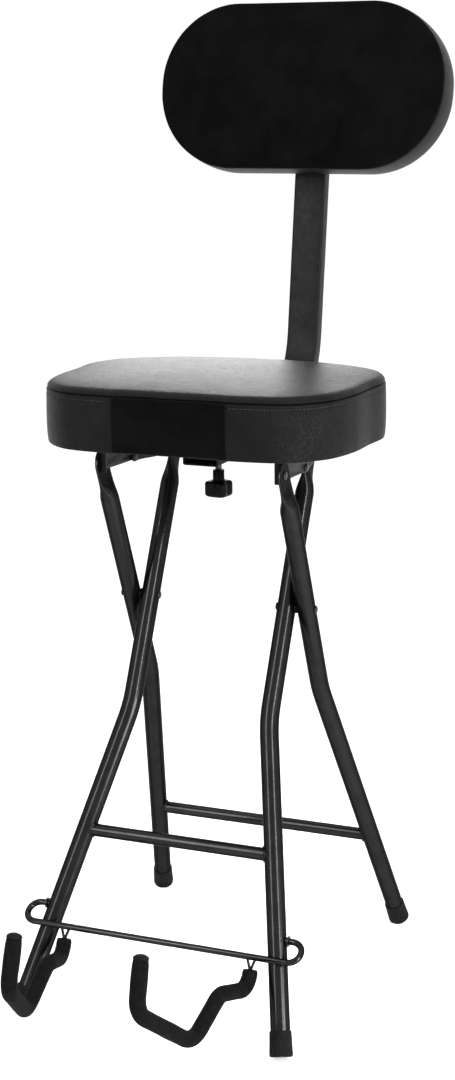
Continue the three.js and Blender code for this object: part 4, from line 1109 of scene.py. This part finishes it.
def make_pad_band(loop, swell):
    side = [ring_at(loop, inset, height) for inset, height in PAD_SIDE_LINE]
    inside = PAD_SIDE_LINE[::-PROFILE_STEPS]
    back = [ring_at(loop, inset + COVER_THICKNESS, height) for inset, height in inside]
    band = carried(skin([*side, *back], closed=True), PAD, swell)
    add("backrest_band", band, "backrest", "cover_leather", ("backrest_side_cover",), PAD, sharp=70)


def make_backrest_pad():
    loop = pad_loop()
    body = cover_rings(loop, [*PAD_SIDE_LINE[::-PROFILE_STEPS], *PAD_FRONT_LINE[::PROFILE_STEPS]], PAD_CROWN)
    swell = swelling("pad_swelling", skin(body), PAD, pad_held)
    make_pad_front(loop, swell)
    make_pad_band(loop, swell)
    rear = skin([ring_at(loop, inset, height) for inset, height in PAD_REAR])
    add("backrest_rear_cover", rear, "backrest", "cover_leather", ("backrest_back_cover",), PAD, sharp=50)


# Backrest bar and clamp

def bar_point(rise):
    """Point on the bar's leaning part, so far up from its corner."""
    return Vector((0, BAR_REACH, BAR_LEVEL)) + Vector((0, math.sin(BAR_LEAN), math.cos(BAR_LEAN))) * rise


def make_bar():
    corner = bar_point(0)
    depth = corner - Vector((0, *PAD_PLACE))
    pad_up = -(depth.y * math.sin(PAD_TILT) + depth.z * math.cos(PAD_TILT))
    top = bar_point(pad_up / math.cos(PAD_TILT - BAR_LEAN) + BAR_TOP_RISE)
    corners = [Vector((0, BAR_FRONT, BAR_LEVEL)), corner, top]
    stations = rounded_path(corners, [BAR_BEND_RADIUS], BAR_BEND_STEP)
    section = rounded_box(*BAR_SIZE, BAR_CORNER, BAR_CORNER_STEPS)
    add("backrest_tube", rod(stations, section), "backrest", "bar_paint", ("backrest_bar",), SEAT, sharp=50)


def knob_profile():
    """Rows of (height, radius, share of the lobes' depth) from the neck's top to the grip's underside."""
    top = -GAP - SLEEVE_DEPTH - NUT_HEIGHT - STUD_SHOW
    shoulder = top - KNOB_NECK_LENGTH
    bottom = shoulder - KNOB_HEIGHT
    neck, grip = KNOB_NECK_RADIUS, KNOB_RADIUS
    return [
        (top - 0.2, 4.3, 0), (top, 4.6, 0), (top, neck - 0.6, 0), (top - 0.6, neck, 0),
        (shoulder + 2, neck, 0), (shoulder + 0.6, neck + 0.5, 0), (shoulder, neck + 2.5, 0.2),
        (shoulder - 0.2, grip - 3.6, 0.6), (shoulder - 0.8, grip - 1.8, 0.9), (shoulder - 2.2, grip - 0.5, 1),
        (shoulder - 4, grip, 1), (bottom + 4, grip, 1), (bottom + 2, grip - 0.5, 1),
        (bottom + 0.7, grip - 1.8, 0.9), (bottom, grip - 3.8, 0.5), (bottom, 4, 0),
    ]


def make_knob():
    sides = KNOB_LOBES * KNOB_LOBE_STEPS
    turned = Matrix.Rotation(KNOB_TURN, 2)
    rings = []
    for height, radius, share in knob_profile():
        ring = []
        for i, unit in enumerate(circle(1, sides)):
            dip = share * KNOB_LOBE_DEPTH * (1 - math.cos(2 * math.pi * i * KNOB_LOBES / sides)) / 2
            flat = turned @ unit * (radius - dip)
            ring.append(Vector((flat.x, flat.y + CLAMP_PLACE, height)))
        rings.append(ring)
    add("knob_grip", skin(rings), "clamp_knob", "plastic", ("clamp_knob",), SEAT, sharp=45)


# Guitar cradle

def cradle_rod_place(pivot):
    """Y and Z of the rod's long run, which rests against the fronts of the legs."""
    rest = LEG_LEAN + math.asin((TUBE_RADIUS + WIRE_RADIUS + GAP) / LOOP_SIZE)
    return pivot.y - LOOP_SIZE * math.sin(rest), pivot.z - LOOP_SIZE * math.cos(rest)


def make_cradle_rod(pivot, rod_y, rod_z):
    start = pivot.x + TUBE_RADIUS - WIRE_IN_LEG
    upper = [Vector((-x, pivot.y, pivot.z)) for x in (start, CRADLE_HALF_WIDTH)]
    lower = [Vector((side * CRADLE_HALF_WIDTH, rod_y, rod_z)) for side in (-1, 1)]
    corners = [*upper, *lower, *[Vector((-p.x, p.y, p.z)) for p in upper[::-1]]]
    stations = rounded_path(corners, [LOOP_SHARE * LOOP_SIZE] * 4, WIRE_BEND_STEP)
    wire = rod(stations, circle(WIRE_RADIUS, WIRE_SIDES), AXIS_Y)
    add("cradle_wire", wire, "cradle", "wire_paint", ("cradle_rod",), sharp=60)
    nut_start = pivot.x + TUBE_RADIUS + NUT_STANDOFF + GAP
    nut = washer(NUT_RADIUS, WIRE_RADIUS + GAP, nut_start, nut_start + NUT_THICKNESS, pivot.y, pivot.z)
    add_pair("push_nut", nut, "cradle", "black_steel", "cradle_push_nut")


def arm_shape(root, foam_start, bends):
    """Arm's wire, with two strands from the rod that meet inside the foam."""
    lead = (bends[0] - root).normalized()
    stem = rounded_path([foam_start - lead, *bends], ARM_RADII, WIRE_BEND_STEP)
    shapes = [rod(stem, circle(WIRE_RADIUS, WIRE_SIDES))]
    meeting = foam_start + lead * STRAND_OVERLAP
    for side in (-1, 1):
        foot_point = root + AXIS_X * side * STRAND_SPREAD + lead * (WIRE_RADIUS - STRAND_SINK)
        heading = (meeting - foot_point).normalized()
        shapes.append(rod([(foot_point, heading), (meeting, heading)], circle(STRAND_RADIUS, STRAND_SIDES)))
    return joined(shapes)


def foam_shape(foam_start, bends):
    """Foam tube over the arm, slightly uneven, with rounded ends."""
    line = filled(rounded_path([foam_start, *bends], ARM_RADII, FOAM_BEND_STEP), FOAM_SPACING)
    first, last = line[0][0], line[-1][0]
    wave_size, wave_length = FOAM_WAVES
    unit = circle(1, FOAM_SIDES)
    sections = []
    for point, _ in line:
        from_end = min((point - first).length, (point - last).length)
        rounding = FOAM_ROUNDING * max(0, 1 - from_end / FOAM_ROUNDING_LENGTH) ** 2
        size = FOAM_RADIUS - rounding + wave_size * noise.noise(point / wave_length)
        sections.append([p * size for p in unit])
    bore = rings_along(line, [p * FOAM_BORE for p in unit])
    return skin([*rings_along(line, sections), *bore[::-1]], closed=True)


def cap_shape(bends):
    """Domed cap on the arm's tip."""
    away = (bends[-1] - bends[-2]).normalized()
    dome_foot = CAP_RIM[-1][0]
    profile = list(CAP_RIM)
    for step in range(1, CAP_DOME_STEPS + 1):
        turn = math.pi / 2 * step / CAP_DOME_QUARTER
        rise = dome_foot + (CAP_HEIGHT - CAP_DOME_LOSS) * math.sin(turn)
        profile.append((rise, CAP_RADIUS * math.cos(turn)))
    stations = [(bends[-1] + away * rise, away) for rise, _ in profile]
    return skin(rings_along(stations, [circle(size, FOAM_SIDES) for _, size in profile]))


def make_cradle():
    pivot = leg_point(FRONT_LEG, CRADLE_PIVOT_HEIGHT)
    rod_y, rod_z = cradle_rod_place(pivot)
    make_cradle_rod(pivot, rod_y, rod_z)
    root = Vector((ARM_OFFSET, rod_y, rod_z))
    bends = []
    for x, y, z in ARM_SHARES:
        bends.append(Vector((x * ARM_OFFSET, pivot.y + y * ARM_REACH, pivot.z + z * ARM_DROP)))
    foam_start = root + (bends[0] - root).normalized() * FOAM_START
    add_pair("arm_wire", arm_shape(root, foam_start, bends), "cradle", "wire_paint", "cradle_arm", sharp=60)
    add_pair("foam_sleeve", foam_shape(foam_start, bends), "cradle", "sleeve_foam", "arm_foam", sharp=50)
    add_pair("tip_cap", cap_shape(bends), "cradle", "foot_rubber", "arm_tip_cap", sharp=50)


# Stage, lamps and camera

def strength(tree, unseen, seen):
    """Strength that differs between rays that light the object and rays that show what lies behind."""
    path = tree.nodes.new("ShaderNodeLightPath")
    showing = path.outputs["Is Camera Ray"]
    for name in ("Is Glossy Ray", "Is Transmission Ray"):
        larger = tree.nodes.new("ShaderNodeMath")
        larger.operation = "MAXIMUM"
        tree.links.new(showing, larger.inputs[0])
        tree.links.new(path.outputs[name], larger.inputs[1])
        showing = larger.outputs[0]
    sockets = {"Value": showing, "To_Min": unseen, "To_Max": seen}
    return fill(tree, tree.nodes.new("ShaderNodeMapRange"), sockets).outputs["Result"]


def make_floor():
    """Pale floor that keeps the object's shadow, with a glow that shows but lights nothing."""
    half = FLOOR_HALF
    corners = [(-half, -half, 0), (half, -half, 0), (half, half, 0), (-half, half, 0)]
    floor = mesh_object("floor", (corners, [(0, 1, 2, 3)]), Matrix.Scale(MM, 4))
    paint = Paint("pale_floor", **FLOOR_FINISH)
    glow = paint.node("Emission", Color=WHITE, Strength=strength(paint.tree, 0, FLOOR_GLOW))
    both = paint.node("AddShader")
    links = paint.tree.links
    links.new(paint.shader.outputs[0], both.inputs[0])
    links.new(glow.outputs[0], both.inputs[1])
    links.new(both.outputs[0], paint.tree.nodes["Material Output"].inputs["Surface"])
    floor.data.materials.append(paint.material)


def make_world():
    """Dim light all round, behind which the camera and reflections see white."""
    world = bpy.data.worlds.new("studio")
    bpy.context.scene.world = world
    world.use_nodes = True
    tree = world.node_tree
    sockets = {"Color": WHITE, "Strength": strength(tree, WORLD_LIGHT, WORLD_BACKDROP)}
    fill(tree, tree.nodes["Background"], sockets)


def add_lamp(lamp):
    light = bpy.data.lights.new(lamp.name, "AREA")
    light.shape = "RECTANGLE"
    light.size = lamp.width
    light.size_y = lamp.height
    light.energy = lamp.watts
    holder = bpy.data.objects.new(lamp.name, light)
    holder.visible_camera = False
    holder.location = lamp.place
    holder.rotation_euler = (Vector(lamp.target) - Vector(lamp.place)).to_track_quat("-Z", "Y").to_euler()
    bpy.context.scene.collection.objects.link(holder)


def make_camera():
    camera = bpy.data.objects.new("camera", bpy.data.cameras.new("camera"))
    camera.data.sensor_width = SENSOR
    camera.data.lens = SENSOR * FOCAL_SHARE
    camera.data.clip_end = CAMERA_SIGHT
    right = Vector((math.cos(CAMERA_AZIMUTH), math.sin(CAMERA_AZIMUTH), 0))
    level = AXIS_Z.cross(right)
    forward = level * math.cos(CAMERA_DROP) - AXIS_Z * math.sin(CAMERA_DROP)
    up = right.cross(forward)
    turn = Matrix((right, up, -forward)).transposed().to_4x4()
    camera.matrix_world = Matrix.Translation(DRAWN @ Vector(CAMERA_PLACE)) @ turn
    bpy.context.scene.collection.objects.link(camera)
    bpy.context.scene.camera = camera


# Assembly

make_camera()
make_world()
for lamp in LAMPS:
    add_lamp(lamp)
make_floor()

make_leg_frame("front", FRONT_LEG)
make_leg_frame("rear", REAR_LEG)
make_rivets()
make_seat()
make_backrest_pad()
make_bar()
make_knob()
make_cradle()

for name in ("seat_rail", "fold_link"):
    dress([name + RIGHT, name + LEFT], "bracket_paint")
dress(["backrest_sleeve", "backrest_bracket"], "bracket_paint")
dress(["seat_board", "backrest_board"], "plywood", edge=0.8)
for screw, count in (("rail_screw", 4), ("sleeve_screw", 2), ("backrest_screw", 2)):
    dress([f"{screw}_{i + 1}" for i in range(count)], "zinc", edge=0.2)
dress(["bracket_bolt_1", "bracket_bolt_2", "clamp_nut", "clamp_stud"], "black_steel")
dress(["bar_lower_plug", "bar_upper_plug"], "plastic")

bpy.context.scene.view_settings.view_transform = "Standard"
